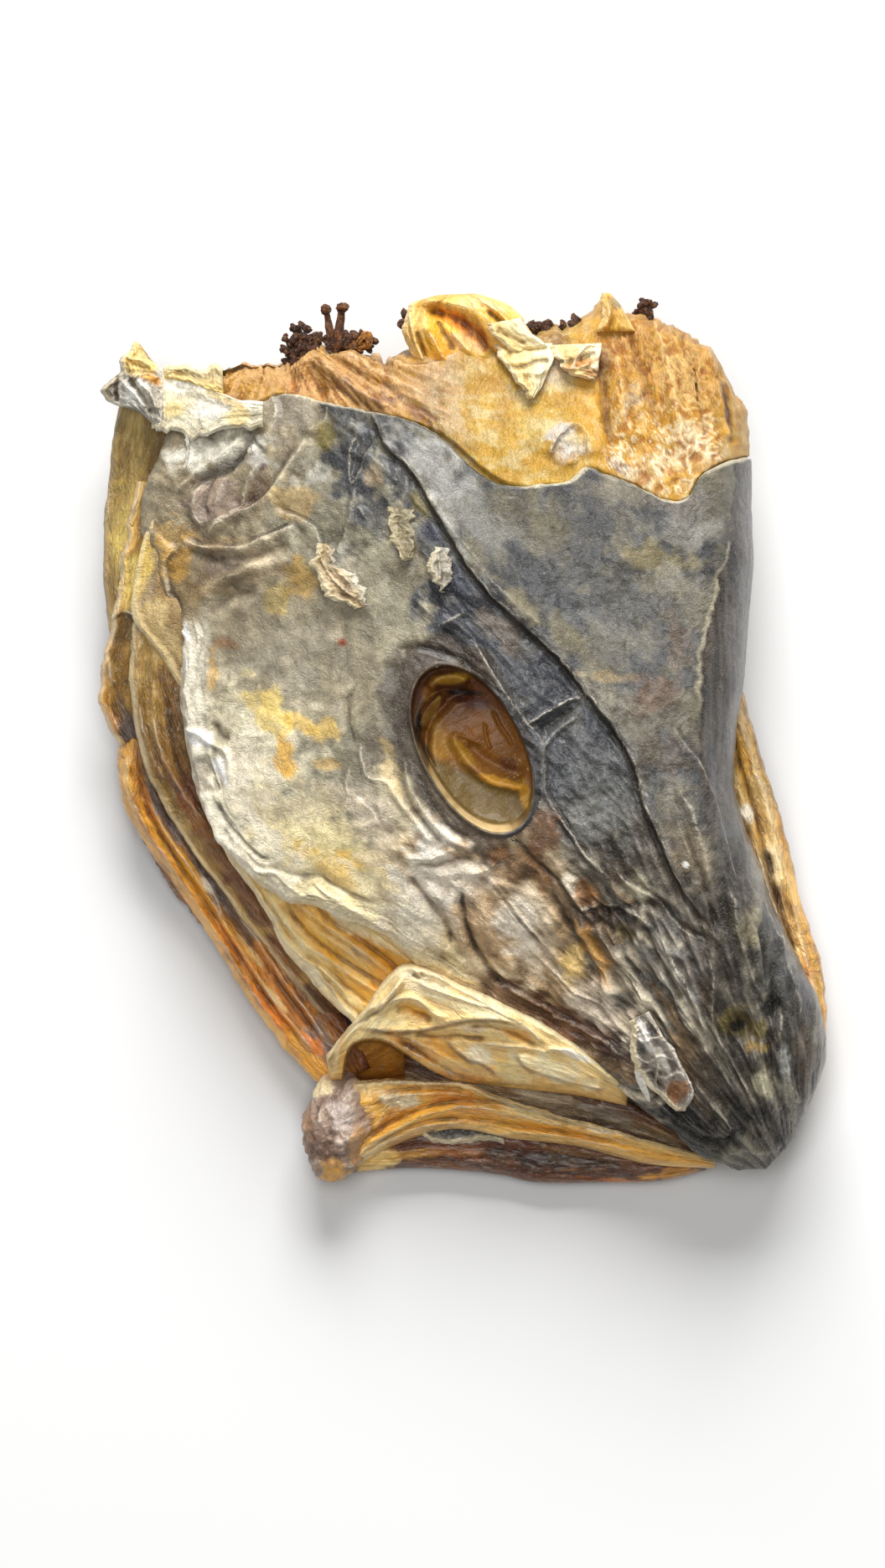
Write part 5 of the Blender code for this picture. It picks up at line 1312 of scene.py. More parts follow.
join("lip_fold", lip_look, strip(
    [-32.5, -74, 21, -24, -63.5, 29, -14, -52, 36, 0, -57, 37, 15, -64, 35, 28, -72, 31, 39, -81, 25],
    [-31.5, -80, 17, -22, -80.5, 16, -10, -79.5, 19, 2, -80.5, 20, 14, -82, 20, 27, -83.5, 20, 39, -86, 20],
    (7, 5), (135, 207),
    [(0, 218, 203, 170), (0.12, 200, 182, 140), (0.4, 200, 176, 130), (0.7, 196, 166, 116),
     (1, 176, 142, 94)],
    (3, 0.26, 26), stains=[
        (222, 210, 182, 0.7, -8, -57, 8, 3, -28), (222, 208, 172, 0.7, 4, -62, 8, 2.4, -26),
        (222, 170, 92, 0.85, -11, -63.4, 4.5, 1.6, -8), (234, 216, 172, 0.8, -19, -66, 5, 2, 5),
        (196, 148, 84, 0.75, 12, -68.3, 6, 1.6, -22), (160, 146, 128, 0.7, 3, -67.4, 5, 1, -8),
        (150, 108, 60, 0.85, -12, -72, 8, 2, -34), (176, 132, 76, 0.7, -5, -72, 6, 2, -30),
        (236, 226, 200, 0.7, 4.5, -74, 5, 2.2, -30), (232, 220, 184, 0.8, 22, -77, 11, 2.6, -18),
        (232, 212, 158, 0.8, 11, -78, 6, 2.4, -15), (150, 136, 118, 0.85, -32.3, -75, 1.3, 6, -8),
        (240, 236, 222, 0.8, 27, -73.8, 5, 0.9, -20), (196, 160, 104, 0.8, -28.6, -74, 1.2, 5),
        (148, 104, 56, 0.7, 0, -79, 8, 1.4, -10),
    ], folds=LIP_FOLDS, sinks=[(HOLLOW, 13, 1.2, dye(128, 94, 48))], ragged=0.3, hem=0.6, seed=240,
))

# ---- The mouth's lining ----
# Between lip and jaw the dark lining shows in a narrow gap, dried into grey-brown strands.
join("mouth_lining", sinew_look, strip(
    [-14, -70, 22, 10, -76, 20, 30, -81, 19, 55, -92, 17],
    [-14, -86, 13, 10, -89, 13, 30, -93, 13, 56, -99, 13],
    (3.5, 6), (54, 135),
    [(0, 66, 48, 28), (0.4, 84, 62, 38), (0.6, 104, 92, 74), (0.75, 64, 50, 34),
     (1, 46, 34, 22)],
    (3, 0.55, 30), stains=[
        (132, 122, 104, 0.7, 20, -84, 12, 1.6, -12), (96, 92, 86, 0.6, 34, -88, 8, 1.6, -14),
        (60, 40, 18, 0.8, -8, -77, 7, 3), (118, 104, 82, 0.6, 6, -81.6, 6, 0.8, -6),
    ], ragged=0.2, seed=260,
))

# ---- The lower jaw ----
# A bundle of amber strands over the jawbone, ending at the corner in the rough brown knob of the
# joint. A shred of grey skin hangs under it, and the other side's jaw lies darker below.
JAW_FOLDS = [
    (1.3, 0.9, [-30, -103, -25.5, -98.4, -20, -94.4, -13, -90.2, -6, -87.4, 2, -86.2, 10, -87.6, 20, -90, 32,
        -93, 44, -96]),
    (-1.3, 0.8, [-25, -95.4, -19, -91, -13, -88, -6, -85.4, 3, -84.6, 12, -86, 22, -88.8, 32, -91.4]),
    (1.2, 0.8, [-24, -81, -16, -80, -8, -80.3, 0, -80.6, 4, -82.4, 9, -85, 16, -87, 26, -89, 38, -92]),
    (1.1, 0.9, [-21, -85, -15, -83.6, -9, -83, -3, -82.8, 3, -84]),
    (-1.1, 0.7, [-20, -82.8, -12, -81.8, -5, -81.7, 1, -82.6]),
    (-1.2, 0.8, [-2, -88.6, 8, -89.8, 16, -91.2, 26, -92.6, 36, -94.8]),
    (1.1, 0.9, [3, -92, 9, -93, 14, -92.4, 22, -93, 32, -95, 44, -98]),
    (1, 0.8, [-27, -100, -21, -96.6, -16, -93.8, -11, -91.4, -5, -90.4, 1, -90.6]),
    (-1, 0.7, [-24, -97.6, -18, -93.8, -12, -90.8, -6, -89.2, 2, -89]),
    (1.2, 1, [-19.5, -82.6, -18.5, -85.4, -19, -88.4, -21.5, -92]),
    (0.8, 0.5, [-16, -84.6, -14.5, -86.6, -16, -89]),
]
jaw = strip(
    [-35, -83, 15, -25, -80, 17, -13, -79.5, 18, 1, -80.5, 18, 13, -85, 17, 28, -89.5, 16, 44, -94, 15,
     60, -98.5, 15],
    [-35.5, -99, 9, -30, -103, 9, -16, -95.5, 10, -2, -91.8, 12, 12, -94, 11, 28, -96, 11, 44, -100, 11,
     60, -101, 13],
    (4.5, 5.5), (99, 234),
    [(0, 222, 198, 152), (0.08, 210, 178, 124), (0.22, 204, 160, 98), (0.4, 212, 174, 114),
     (0.55, 198, 154, 92), (0.75, 204, 164, 104), (0.92, 212, 178, 126), (1, 170, 140, 100)],
    (3.2, 0.42, 22), stains=[
        (134, 110, 90, 0.85, -24, -90, 3, 5), (238, 224, 192, 0.85, -15, -84.6, 5, 2.2, -8),
        (206, 142, 62, 0.8, -2, -84, 6, 1.6, 6), (208, 152, 74, 0.8, 2, -88.4, 7, 1.6, -4),
        (232, 206, 154, 0.8, -22, -97, 6, 1.4, 36), (196, 146, 92, 0.7, -17, -89.4, 5, 2, 38),
        (236, 214, 164, 0.8, 18, -88.4, 12, 1.1, -13), (206, 156, 80, 0.7, 24, -91.8, 10, 1.2, -13),
        (176, 150, 118, 0.7, -8, -91.4, 5, 1, 6), (214, 178, 118, 0.6, 44, -96, 9, 2, -15),
        (240, 232, 208, 0.7, 32, -91.8, 4, 0.8, -14),
    ], folds=JAW_FOLDS, ragged=0.45, hem=0.5, seed=280,
)
join("jaw_knob", hide_look, ball(
    (-29.8, -90.8, 14), (7.6, 13, 9.5), -8, (84, 120), (4.6, 0.9),
    (dye(130, 112, 100), dye(100, 84, 76), dye(168, 154, 142)), 300, stains=[
        (206, 190, 156, 0.9, -34, -81.6, 5, 2), (200, 180, 140, 0.9, -23, -81, 3, 2),
        (178, 140, 92, 0.9, -31, -102, 4, 3), (118, 94, 76, 0.9, -37, -93, 2, 6),
        (150, 120, 90, 0.9, -24, -96, 2.6, 6), (96, 78, 68, 0.9, -34, -95, 3, 4),
        (150, 138, 130, 0.9, -29, -88, 4, 4),
    ],
))
frill = strip(
    [-13.5, -92.6, 11, -8, -94, 11, -3, -95.4, 11, 3, -94.2, 11, 10, -95.4, 11],
    [-13, -89, 12, -8, -89, 13, -3, -89, 13, 3, -90, 13, 10, -91, 13],
    (1.2, 2), (36, 99), [(0, 176, 166, 150), (0.1, 96, 94, 92), (0.5, 70, 68, 68), (1, 50, 46, 44)],
    (1.6, 0.5, 3), ragged=0.9, hem=0.5, seed=320,
)
join("lower_jaw", sinew_look, jaw, frill)
join("lower_jaw_far", sinew_look, strip(
    [-27, -88, 8, 0, -86, 8, 25, -90, 8, 57, -96, 10],
    [-28, -102.4, 5, -14, -101.2, 5, -2, -101.6, 5, 9, -102.8, 5, 18, -104.6, 5, 34, -104.6, 5, 47, -104.2, 5,
     58, -101.6, 6],
    (4, 5), (63, 198),
    [(0, 50, 34, 18), (0.5, 84, 56, 28), (0.7, 98, 68, 34), (0.86, 74, 52, 30),
     (1, 100, 70, 42)],
    (2.6, 0.55, 24), stains=[
        (216, 188, 130, 0.9, -21, -99, 6, 3.4, 8), (164, 126, 72, 0.6, -11, -97.6, 7, 1.6, 4),
        (118, 80, 36, 0.7, 0, -97.6, 10, 1.6, -4), (58, 44, 34, 0.9, 16, -99, 11, 2.4, -8),
        (62, 52, 42, 0.85, 30, -99.6, 9, 2.2, -12), (150, 98, 50, 0.8, 38, -104.4, 9, 1, -8),
        (166, 124, 66, 0.8, 50, -102.6, 7, 2, 4), (92, 70, 30, 0.7, 26, -97, 10, 1, -10),
    ], ragged=0.6, hem=0.3, seed=340,
))

# ---- The far cheek ----
# The other side's cheek shows past the snout as a narrow fold of the same amber strands.
join("far_cheek", sinew_look, strip(
    [65.5, 15, 22, 71, -3, 18, 76, -18, 15, 80.5, -38, 13, 85.6, -54, 12, 86.4, -70, 12, 84, -82, 12],
    [50, 16, 26, 50, -5, 24, 52, -25, 22, 58, -45, 19, 64, -62, 16, 70, -80, 14],
    (5, 6), (81, 234),
    [(0, 150, 114, 70), (0.06, 186, 152, 100), (0.16, 200, 174, 128), (0.26, 164, 130, 82),
     (0.36, 184, 158, 114), (0.5, 140, 112, 78), (0.7, 90, 70, 48)],
    (3.2, 0.6, 24), stains=[
        (238, 232, 216, 0.8, 67.5, -16, 1.4, 3, 15), (206, 160, 92, 0.7, 66, -2, 2, 7, 14),
        (110, 74, 52, 0.8, 67.4, -22, 1.2, 4, 12), (232, 214, 176, 0.7, 74, -30, 1.6, 8, 14),
        (176, 124, 66, 0.7, 82, -56, 1.6, 7, 10), (216, 182, 126, 0.7, 78, -42, 2, 7, 14),
        (150, 108, 62, 0.7, 85, -68, 1.2, 6), (118, 92, 62, 0.85, 76, -40, 3.4, 10, 14),
        (92, 76, 58, 0.8, 73, -34, 1.6, 9, 14),
    ], folds=[
        (1, 0.8, [63.5, 14, 66.5, 2, 71, -12, 75, -26, 79, -42, 83, -58, 84, -70]),
        (-1.1, 0.7, [63, 6, 66, -6, 69.5, -17, 73, -30, 77, -44, 81, -58]),
        (0.9, 0.6, [64, -8, 67, -16, 70, -26, 73.5, -38, 78, -50]),
    ], ragged=0.45, seed=360,
))

# ---- The collar ----
# At the neck's upper corner a sheet of white skin from inside the gill was left, crumpled to grey
# lumps at its outer edge.
sheet = strip(
    [-73.5, 74.4, 33, -71, 72.6, 34.5, -68, 73, 35.6, -65, 71.6, 36.6, -61.5, 72.8, 38.2, -57, 73.8, 40.2,
     -52, 73.4, 41.8, -47, 74.4, 43],
    [-73.5, 89.6, 30.6, -70, 88.4, 32.6, -66, 86.8, 34.8, -61.8, 85, 37.4, -57.4, 82.8, 39.8, -53, 81, 41.4,
     -50, 80.6, 42.4, -47, 80.4, 43],
    (1.2, 4), (81, 117),
    [(0, 236, 234, 224), (0.1, 222, 216, 194), (0.5, 228, 220, 190), (0.9, 232, 230, 216),
     (1, 244, 240, 226)],
    (2.6, 0.22, 6), stains=[
        (224, 204, 150, 0.8, -68, 79, 2.4, 3), (226, 206, 156, 0.8, -53, 76.6, 3.4, 2.4),
        (206, 202, 190, 0.8, -66, 84.4, 4, 2, -20), (246, 244, 234, 0.8, -60, 79, 5, 3),
        (186, 180, 164, 0.7, -71.4, 80, 1, 7), (168, 160, 142, 0.6, -48.6, 77, 1.6, 4),
        (214, 188, 132, 0.7, -57, 81.4, 5, 1.2, -24),
    ], folds=[
        (0.9, 0.5, [-71, 73, -70.4, 78, -70.6, 83, -71.4, 88]),
        (-0.8, 0.6, [-72.2, 75, -71.8, 80, -72.2, 86]), (0.8, 0.7, [-70, 88, -64, 86, -58, 83, -52, 80.8]),
        (-0.5, 1, [-66, 82, -60, 80.4, -54, 78]), (0.5, 0.5, [-61, 84, -62, 79, -61, 74]),
        (0.4, 0.4, [-57, 82, -56.4, 78, -57, 74.6]),
    ], ragged=1.5, torn=0.3, hem=0.4, seed=380,
)
crumple = strip(
    [-75.4, 77.6, 30, -78, 79, 29, -81.4, 79.8, 28.4, -84.6, 81.6, 28, -85.2, 84.4, 27.6, -82, 87.2, 28,
     -80.6, 90, 28, -79.4, 92.4, 27.4, -77.6, 95.4, 26.6],
    [-71.4, 73.4, 34, -71, 76, 34.4, -70.8, 79, 34.6, -70.6, 82, 34.6, -70.6, 84.6, 34.4, -70.8, 86.8, 33.6,
     -71.4, 88.6, 32.4, -73.6, 91, 30.4, -76.2, 94.4, 27.6],
    (2.2, 4), (76, 117),
    [(0, 132, 126, 114), (0.2, 168, 164, 154), (0.5, 196, 194, 186), (0.8, 180, 176, 164),
     (1, 214, 210, 198)],
    (2, 0.8, 5), stains=[
        (106, 98, 84, 0.9, -83.6, 83.6, 2.6, 2.6), (214, 214, 208, 0.8, -78, 82.6, 4, 1.4, -30),
        (92, 84, 72, 0.9, -77.6, 86.4, 1.2, 0.9), (206, 152, 84, 0.9, -73.4, 86.4, 3.2, 1.6, -35),
        (232, 206, 142, 0.95, -76.4, 89.6, 4.6, 2.4, -15), (236, 216, 158, 0.95, -77.4, 93, 3, 3),
        (214, 174, 100, 0.8, -78, 90.4, 3, 0.6, -10), (140, 134, 124, 0.7, -74, 78.6, 1.6, 3, 25),
    ], folds=[
        (1.4, 0.7, [-81.6, 87, -79.6, 84.6, -77, 82, -75, 79.4, -73, 75]),
        (-1.4, 0.6, [-79.4, 86.6, -77, 83.6, -75, 80.6, -73.4, 77.4]),
        (1.1, 0.6, [-78, 87, -75.6, 84.4, -73.4, 82, -72, 78]),
        (-1.2, 0.5, [-81.8, 80.4, -82, 84, -81.4, 87.2]),
        (1.3, 0.6, [-71.4, 86, -74, 87.4, -77, 87.2, -80, 87.4], "lap"),
        (0.8, 0.5, [-79.4, 91, -76.4, 90.6, -73.6, 89]), (-0.8, 0.5, [-78.6, 89.8, -76, 89, -73.4, 88]),
    ], ragged=0.9, hem=0.5, seed=385,
)
strand = strip(
    [-66, 73.4, 36.4, -65.4, 70, 36, -65.8, 66.6, 35.4, -67.4, 62.6, 34.4],
    [-64.4, 73.4, 36.8, -64.4, 70, 36.4, -64.8, 66.4, 36, -66.6, 62.2, 35],
    (0.9, 1), (14, 45), [(0, 226, 224, 214), (1, 196, 192, 178)], (0.8, 0.3, 3), ragged=0.5, seed=390,
)
papery = strip(
    [-71, 88.4, 32, -68, 89.6, 33, -65, 89.8, 34.4, -62, 88.6, 36, -59, 89.8, 37, -56.6, 88.4, 38],
    [-70.6, 86, 33.6, -67, 85.4, 35, -64, 84.6, 36.4, -61, 83.6, 38, -58.4, 82.6, 39.4, -56.4, 82, 40],
    (1.6, 3), (41, 72), [(0, 230, 214, 170), (0.4, 206, 190, 150), (1, 232, 206, 142)],
    (1.8, 0.5, 3.4), ragged=0.8, hem=0.4, seed=395,
    stains=[(150, 134, 108, 0.8, -62.6, 87.4, 1.6, 0.8, -30), (188, 160, 104, 0.7, -67.6, 87.6, 2, 1)],
)
join("collar", hide_look, sheet, crumple, strand, papery)

# ---- The nape ----
# Behind the skull a folded flap of amber flesh stands up, with torn, papery flakes round its foot.


def on_head(x, y):
    """A height a little above the head's broad form at each point."""
    left, right = reading(CHEEK_EDGE, y), reading(SKULL_EDGE, y)
    edge = rim_height(x, y, left, right)
    return 1.5 + raised(x, y, edge, side_rise(x, left, right))


amber = [(0, 226, 194, 132), (0.1, 208, 164, 94), (0.5, 212, 172, 104), (1, 214, 184, 128)]
paper = [(0, 250, 242, 218), (0.12, 226, 204, 152), (0.5, 232, 214, 166), (1, 246, 236, 206)]
nape = strip(
    [-8, 84, 42, -12.5, 92, 43.6, -14, 99, 43.4, -12.6, 103.4, 42, -6, 105.6, 40],
    [18, 84, 44, 17, 93, 44, 14.4, 99, 43.6, 11, 103, 42, 3, 106, 40],
    (5, 6.5), (108, 99), amber, (2.6, 0.45, 14), stains=[
        (196, 130, 60, 0.8, -3, 100, 5, 2, -20), (160, 104, 56, 0.85, 3, 96, 6, 2.4, -45),
        (206, 176, 140, 0.6, 0, 94, 5, 2, -20), (238, 206, 140, 0.8, 2, 103.6, 8, 2),
        (222, 176, 92, 0.8, -7, 96, 3, 5), (204, 162, 92, 0.85, 9, 100, 3.4, 6, 35),
        (188, 146, 88, 0.8, 13, 94, 3, 6, 20), (228, 204, 152, 0.8, 5, 103, 7, 1.6, -8),
        (206, 150, 74, 0.8, -4, 88, 5, 4, 10), (236, 206, 146, 0.7, -10, 99, 2.4, 5),
    ], folds=[
        (-2.6, 1.5, [-9, 102, -5, 101, -1, 99.4, 3, 96.4, 6, 92.6, 9, 89]),
        (2, 1.7, [-11, 104, -5, 104, 1, 102.4, 6, 99.4, 10, 95, 13, 91]),
        (1.4, 1, [-9, 99, -7, 95, -5, 91, -3, 87]), (-1.2, 0.8, [-6, 99.5, -4, 95.5, -2, 92]),
        (0.9, 0.7, [-3, 97.4, -1, 94.6, 2, 91.4]), (1.7, 0.7, [3, 104.6, 8, 101.6, 12, 97, 15, 91]),
        (-1.6, 0.7, [5, 102, 9, 98.4, 12, 94, 13, 90]), (1.1, 0.5, [8, 103, 12, 99, 14.6, 94]),
        (-1.2, 0.5, [-11, 97, -9.6, 93, -8, 89]), (1.2, 0.5, [-12.6, 101, -11.4, 95, -9, 89]),
    ], ragged=0.8, torn=0.8, hem=0.4, seed=400,
)
flake_a = strip(
    [7.5, 94, 0.6, 8.6, 90.5, 1.6, 11.6, 86, 2.2, 14, 82.6, 1.8, 15.4, 80.4, 0.4],
    [21, 94, 0.6, 21.4, 90.5, 1.8, 19.8, 86.6, 2.2, 18.4, 83.4, 1.4, 16.6, 80.8, 0.4],
    (1.2, 1.6), (45, 54), paper, (1.8, 0.5, 5), folds=[
        (-1.5, 0.8, [10, 88.4, 13, 88, 17, 89.4, 20.6, 90]),
        (1, 0.6, [12, 86.4, 14.6, 87, 18, 86.6, 19.6, 88]),
    ], ragged=0.8, hem=0.6, seed=420, rest=on_head,
)
flake_b = strip(
    [20, 93.5, 1.5, 22, 90, 2.4, 24, 87.4, 2.4, 27, 85.6, 1.8, 31, 84.4, 0.8],
    [32.6, 94, 1.5, 32.4, 92, 2.8, 32, 90, 2.8, 31.8, 88, 2.2, 31.6, 86.4, 1],
    (1.2, 1.6), (45, 50), paper, (1.9, 0.6, 5), stains=[
        (176, 122, 66, 0.8, 27, 89, 5, 1.4, 20), (150, 104, 62, 0.8, 30, 86.4, 2.4, 1.4),
    ], folds=[
        (1.3, 0.5, [20.5, 90.6, 22, 82, 28, 92.4, 31.6, 93.4]),
        (-1.4, 0.8, [22, 89.6, 25.6, 89.6, 29, 90.8, 31.6, 91.6]), (1, 0.5, [23, 88, 26.4, 87.8, 30, 89]),
    ], ragged=0.9, hem=0.6, seed=440, rest=on_head,
)
flake_c = strip(
    [5.4, 98.4, 1.6, 7.6, 95.6, 2, 10.4, 92.6, 1.6, 13, 91.6, 0.6],
    [13.4, 99.8, 1.6, 15.6, 96.6, 2.2, 18.4, 94.6, 1.8, 20, 93, 0.6],
    (1.2, 1.6), (40, 40), paper, (2.2, 0.4, 6), folds=[(-0.9, 0.7, [7.6, 97, 11, 95.4, 15, 93.6])],
    ragged=0.7, hem=0.6, seed=460, rest=lambda x, y: 49.3 + 0 * x,
)
spike = strip(
    [31.4, 96.6, 45.4, 32.6, 100.4, 45.4, 32.2, 103.6, 44, 32.6, 106, 43],
    [40.6, 96.8, 45.4, 38.4, 100.6, 45.4, 37, 103.2, 44, 34.6, 106, 43],
    (1.6, 3), (36, 45), amber, (1.8, 0.4, 8), stains=[(150, 138, 112, 0.8, 35.6, 103.6, 2, 1.4, -30)],
    folds=[(1, 0.7, [33.4, 97, 34.4, 100.4, 34, 104])], ragged=0.5, hem=0.5, seed=480,
)
join("nape_flap", flesh_look, nape, flake_a, flake_b, flake_c, spike)

# ---- Flakes on the skin ----
# Where the hide blistered, thin pale scraps peeled up from it: a tongue of them near the snout, and
# a few on the cheek and by the brow.
tongue = strip(
    [39, -65.4, 1, 39.4, -70, 1.6, 40.4, -75, 1.4, 42.6, -80, 1.2, 47, -83.6, 1.2, 50.2, -86.8, 1],
    [43.6, -63, 1, 47.4, -69, 1.8, 50.6, -74, 1.8, 53, -79, 1.6, 54.2, -83, 1.4, 52.4, -86.8, 1],
    (0.9, 2), (81, 153),
    [(0, 206, 202, 194), (0.08, 150, 146, 140), (0.3, 118, 112, 106), (0.5, 146, 140, 132),
     (0.7, 112, 106, 100), (0.92, 160, 154, 146), (1, 214, 206, 196)],
    (2, 0.5, 4.5), stains=[
        (122, 92, 70, 0.95, 50.4, -82, 2.8, 3.8, 20), (206, 190, 160, 0.8, 52.6, -86, 1.6, 1.2),
        (206, 204, 200, 0.7, 43, -69, 1.6, 4, 20), (222, 220, 214, 0.7, 47.4, -75, 1, 4, 30),
        (70, 68, 66, 0.8, 42, -72.6, 1.2, 2, 10), (78, 70, 62, 0.8, 46, -79, 1.6, 3, 30),
        (84, 78, 72, 0.8, 49, -75.4, 1.2, 2.4, 30), (70, 68, 68, 0.8, 44.6, -67.6, 1.2, 2, 20),
    ], folds=[
        (0.9, 0.45, [41, -65, 42.4, -68.5, 44.6, -72, 46, -76, 45.4, -80, 47, -83]),
        (0.9, 0.45, [43.4, -64, 46, -68, 48.4, -71.4, 51, -76, 52.6, -80]),
        (0.8, 0.4, [39.6, -68.4, 42.4, -70.2, 45.6, -69.2, 47.4, -70.6]),
        (0.8, 0.4, [40.4, -73.4, 43.4, -75.2, 46.4, -73.6, 50.4, -75]),
        (0.8, 0.4, [41.6, -78.4, 44.4, -77, 47.4, -79, 49.4, -77.6]),
        (0.9, 0.5, [48, -79.4, 50.4, -77.6, 52.6, -80, 53, -84, 50.8, -86.2, 48.2, -83.8, 48, -79.6]),
    ], ragged=0.9, torn=0.5, hem=0.8, seed=500, rest=on_head,
)
prong = strip(
    [40.4, -77, 1.2, 41, -80, 1, 42.6, -83, 0.8, 43.6, -85, 0.4],
    [42.2, -77, 1.4, 43, -80, 1.2, 44, -82.6, 1, 44.4, -84.8, 0.4],
    (0.7, 1), (18, 36), [(0, 226, 222, 212), (1, 200, 196, 186)], (1, 0.2, 4), ragged=0.2,
    seed=520, rest=on_head,
)
scrap_a = strip(
    [-34.2, 47, 0.2, -34.4, 41, 0.6, -32.8, 36.4, 0.8, -29, 32.8, 0.8, -25.4, 31.2, 0.3],
    [-31, 46.6, 0.2, -28.2, 41.6, 0.6, -25.2, 38.4, 0.8, -22.6, 35.4, 0.8, -21.6, 32.4, 0.3],
    (0.6, 1.4), (63, 99), [(0, 236, 230, 212), (0.12, 190, 174, 144), (0.5, 176, 156, 124),
                            (0.85, 190, 180, 156), (1, 232, 228, 214)],
    (2, 0.4, 4),
    stains=[(206, 184, 154, 0.8, -30, 40, 2, 4, -25), (132, 112, 88, 0.8, -27, 36.4, 1.6, 2.4, -30)],
    folds=[(0.8, 0.4, [-33.6, 44, -31.6, 40, -28, 36, -24.6, 33.6]),
           (0.6, 0.4, [-31, 44, -29.4, 40.4, -26.4, 37.4])],
    ragged=1.6, torn=1.8, hem=0.7, seed=540, rest=on_head,
)
scrap_b = strip(
    [-6.6, 46, 0.8, -8.2, 42, 1.6, -7.2, 38.6, 1.6, -5, 35, 0.6],
    [-3.4, 45.6, 0.8, -2.6, 42, 1.6, -3.2, 38.6, 1.6, -4.2, 35.2, 0.6],
    (0.8, 1.4), (40, 63), [(0, 206, 204, 194), (0.5, 160, 156, 144), (1, 196, 192, 180)],
    (1.4, 0.4, 3), folds=[(0.7, 0.35, [-6, 44.6, -5.4, 41, -5.4, 37.4])],
    ragged=1.1, torn=1, hem=0.6, seed=560, rest=on_head,
)
scrap_c = strip(
    [-17.6, 55.4, 0, -17.2, 50, 0.5, -15.6, 46.4, 0.6, -13.4, 42.4, 0.2],
    [-11.4, 54.6, 0, -11.8, 50, 0.5, -11.4, 46.4, 0.6, -12.2, 42.8, 0.2],
    (0.6, 1.4), (45, 63), [(0, 176, 166, 140), (0.5, 128, 118, 92), (1, 168, 160, 136)],
    (1.6, 0.35, 3.4), ragged=1.4, torn=1.4, hem=0.4, seed=580, rest=on_head,
)
join("skin_flakes", hide_look, tongue, prong, scrap_a, scrap_b, scrap_c)

# ---- Gill crumbs ----
# Crumbled dark gill tissue sticks to the cut neck, with two short rods of it standing up.
crumb_look = hide_finish("gill_crumb", flecks=0.4, hairs=0.1, wrinkle=0.6, bump=0.9, rough=0.5)
rng = np.random.default_rng(7)
crumbs = []
for (cx, cy, cz), (rx, ry), count in (
    ((-38.4, 93.6, 33), (4.4, 5.2), 110), ((-27, 94.6, 34), (6, 3), 80), ((19.4, 97.6, 36), (4.4, 1.8), 36),
    ((28, 98.4, 37), (4.6, 2), 44), ((42.8, 102, 31), (1.8, 3.4), 30), ((-12.9, 99.8, 37), (1, 1.8), 8),
    ((-12.2, 95.8, 37), (0.8, 1.8), 7),
):
    for angle, reach, size, hue in rng.random((count, 4)):
        x, y = cx + rx * reach * np.cos(6.3 * angle), cy + ry * reach * np.sin(6.3 * angle)
        radius, amber_share = 0.45 + 0.5 * size, smooth((x + 27) / 4) * (cx < -20) * (hue > 0.4)
        half = (radius, radius * (1.1 + 1.3 * size), radius)
        brown = dye(84, 58, 42)
        brown = brown + (dye(176, 124, 70) - brown) * amber_share, dye(42, 30, 24), dye(132, 98, 68)
        crumbs.append(ball((x, y, cz + 3 * (hue - 0.5)), half, 360 * hue, (8, 10), (1, 0.3), brown, 600))
rod_hue = dye(110, 76, 54), dye(64, 44, 34), dye(140, 102, 76)
RODS = [((-30.4, 92, 33), (-32.3, 102.4, 35), 0.95), ((-30, 92, 34), (-28.4, 102.8, 36), 1.15)]
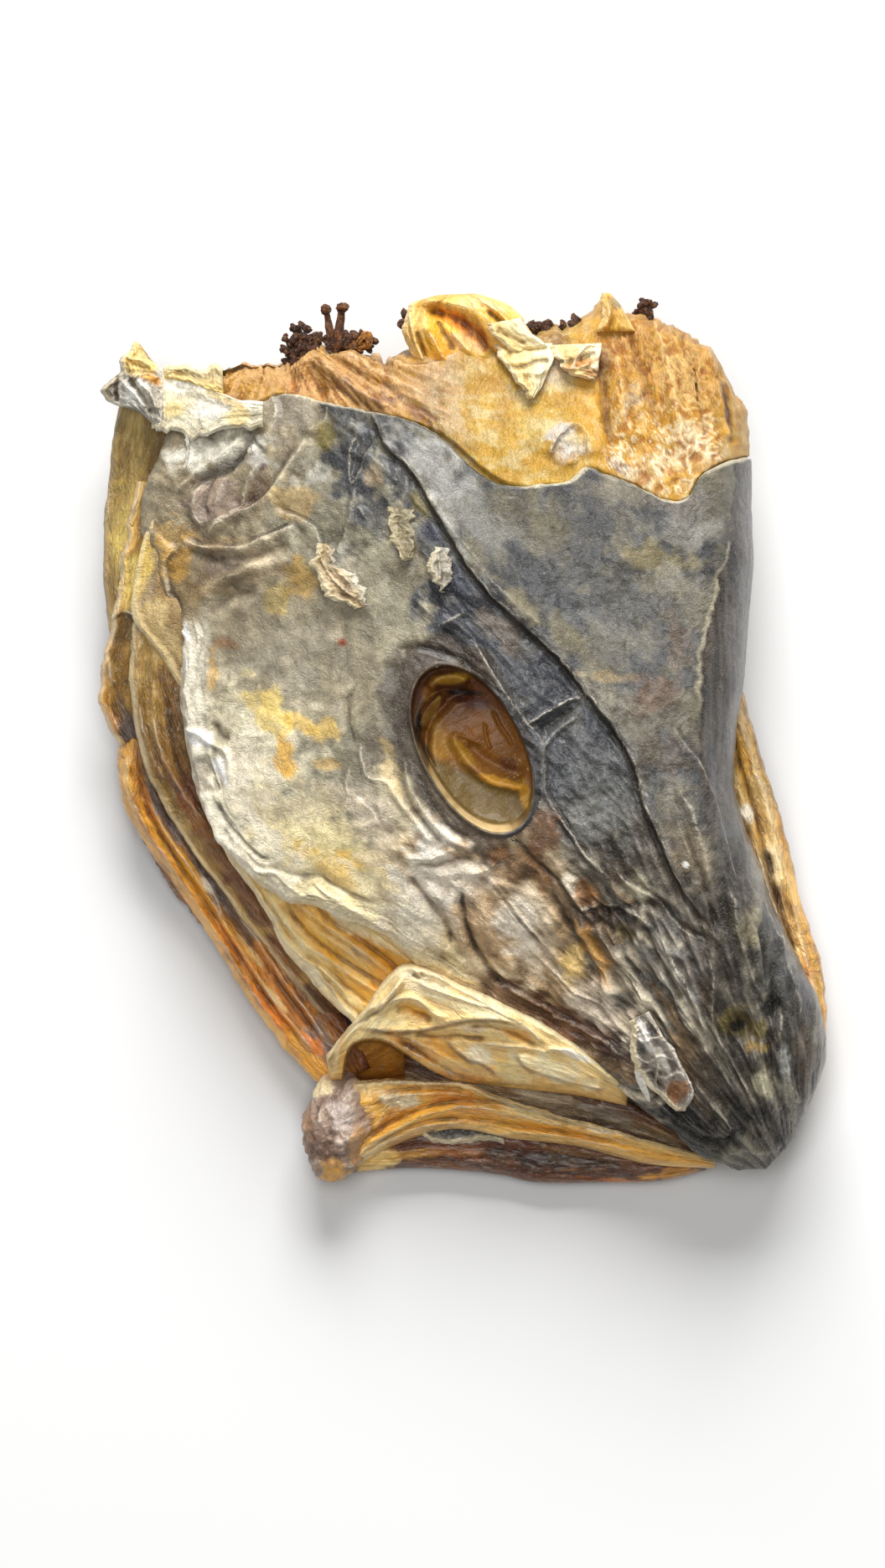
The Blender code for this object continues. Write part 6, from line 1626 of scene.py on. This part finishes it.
for foot, head, thick in RODS:
    middle = ((foot[0] + head[0]) / 2, (foot[1] + head[1]) / 2, (foot[2] + head[2]) / 2)
    tilt = np.degrees(np.arctan2(head[0] - foot[0], head[1] - foot[1]))
    crumbs.append(ball(middle, (thick, 5.6, thick), -tilt, (40, 24), (1.6, 0.22), rod_hue, 610))
    crumbs.append(ball(head, (thick * 1.25, 1.2, thick * 1.2), -tilt, (18, 20), (1, 0.3), rod_hue, 620))
join("gill_crumbs", crumb_look, *crumbs)

# ---- The stage ----
# A white table under soft studio light from above, with the camera straight over the head.
floor_mesh = bpy.data.meshes.new("table_top")
floor_mesh.from_pydata([(-2, -2, 0), (2, -2, 0), (2, 2, 0), (-2, 2, 0)], [], [(0, 1, 2, 3)])
table = bpy.data.objects.new("table_top", floor_mesh)
bpy.context.scene.collection.objects.link(table)
table_finish = Finish("white_table", Base_Color=(0.74, 0.74, 0.738, 1), Roughness=0.9)
table.data.materials.append(table_finish.material)

CAMERA_HEIGHT = 3
SEEN_HEIGHT = 0.3744
camera = bpy.data.objects.new("camera", bpy.data.cameras.new("camera"))
camera.data.sensor_fit = "VERTICAL"
camera.data.sensor_height = 36
camera.data.lens = 36 * CAMERA_HEIGHT / SEEN_HEIGHT
camera.location = (-0.0048, -0.0096, CAMERA_HEIGHT)
camera.data.clip_end = 10
bpy.context.scene.collection.objects.link(camera)
bpy.context.scene.camera = camera


def lamp(name, place, size, watts):
    """A square soft box that faces the head."""
    light = bpy.data.lights.new(name, "AREA")
    light.shape, light.size, light.energy = "SQUARE", size, watts
    box = bpy.data.objects.new(name, light)
    box.location = place
    aim = np.array([0, 0, 0.02]) - np.array(place)
    box.rotation_euler = (
        np.arctan2(np.hypot(aim[0], aim[1]), -aim[2]), 0, np.arctan2(-aim[0], aim[1]),
    )
    bpy.context.scene.collection.objects.link(box)


lamp("key_light", (0.15, 2.4, 1.8), 1.6, 140)
lamp("overhead_light", (-0.2, 0.15, 3.3), 1.5, 51)
world = bpy.data.worlds.new("studio")
world.use_nodes = True
world.node_tree.nodes["Background"].inputs["Color"].default_value = (1, 0.995, 0.985, 1)
world.node_tree.nodes["Background"].inputs["Strength"].default_value = 0.14
bpy.context.scene.world = world
bpy.context.scene.view_settings.view_transform = "Standard"
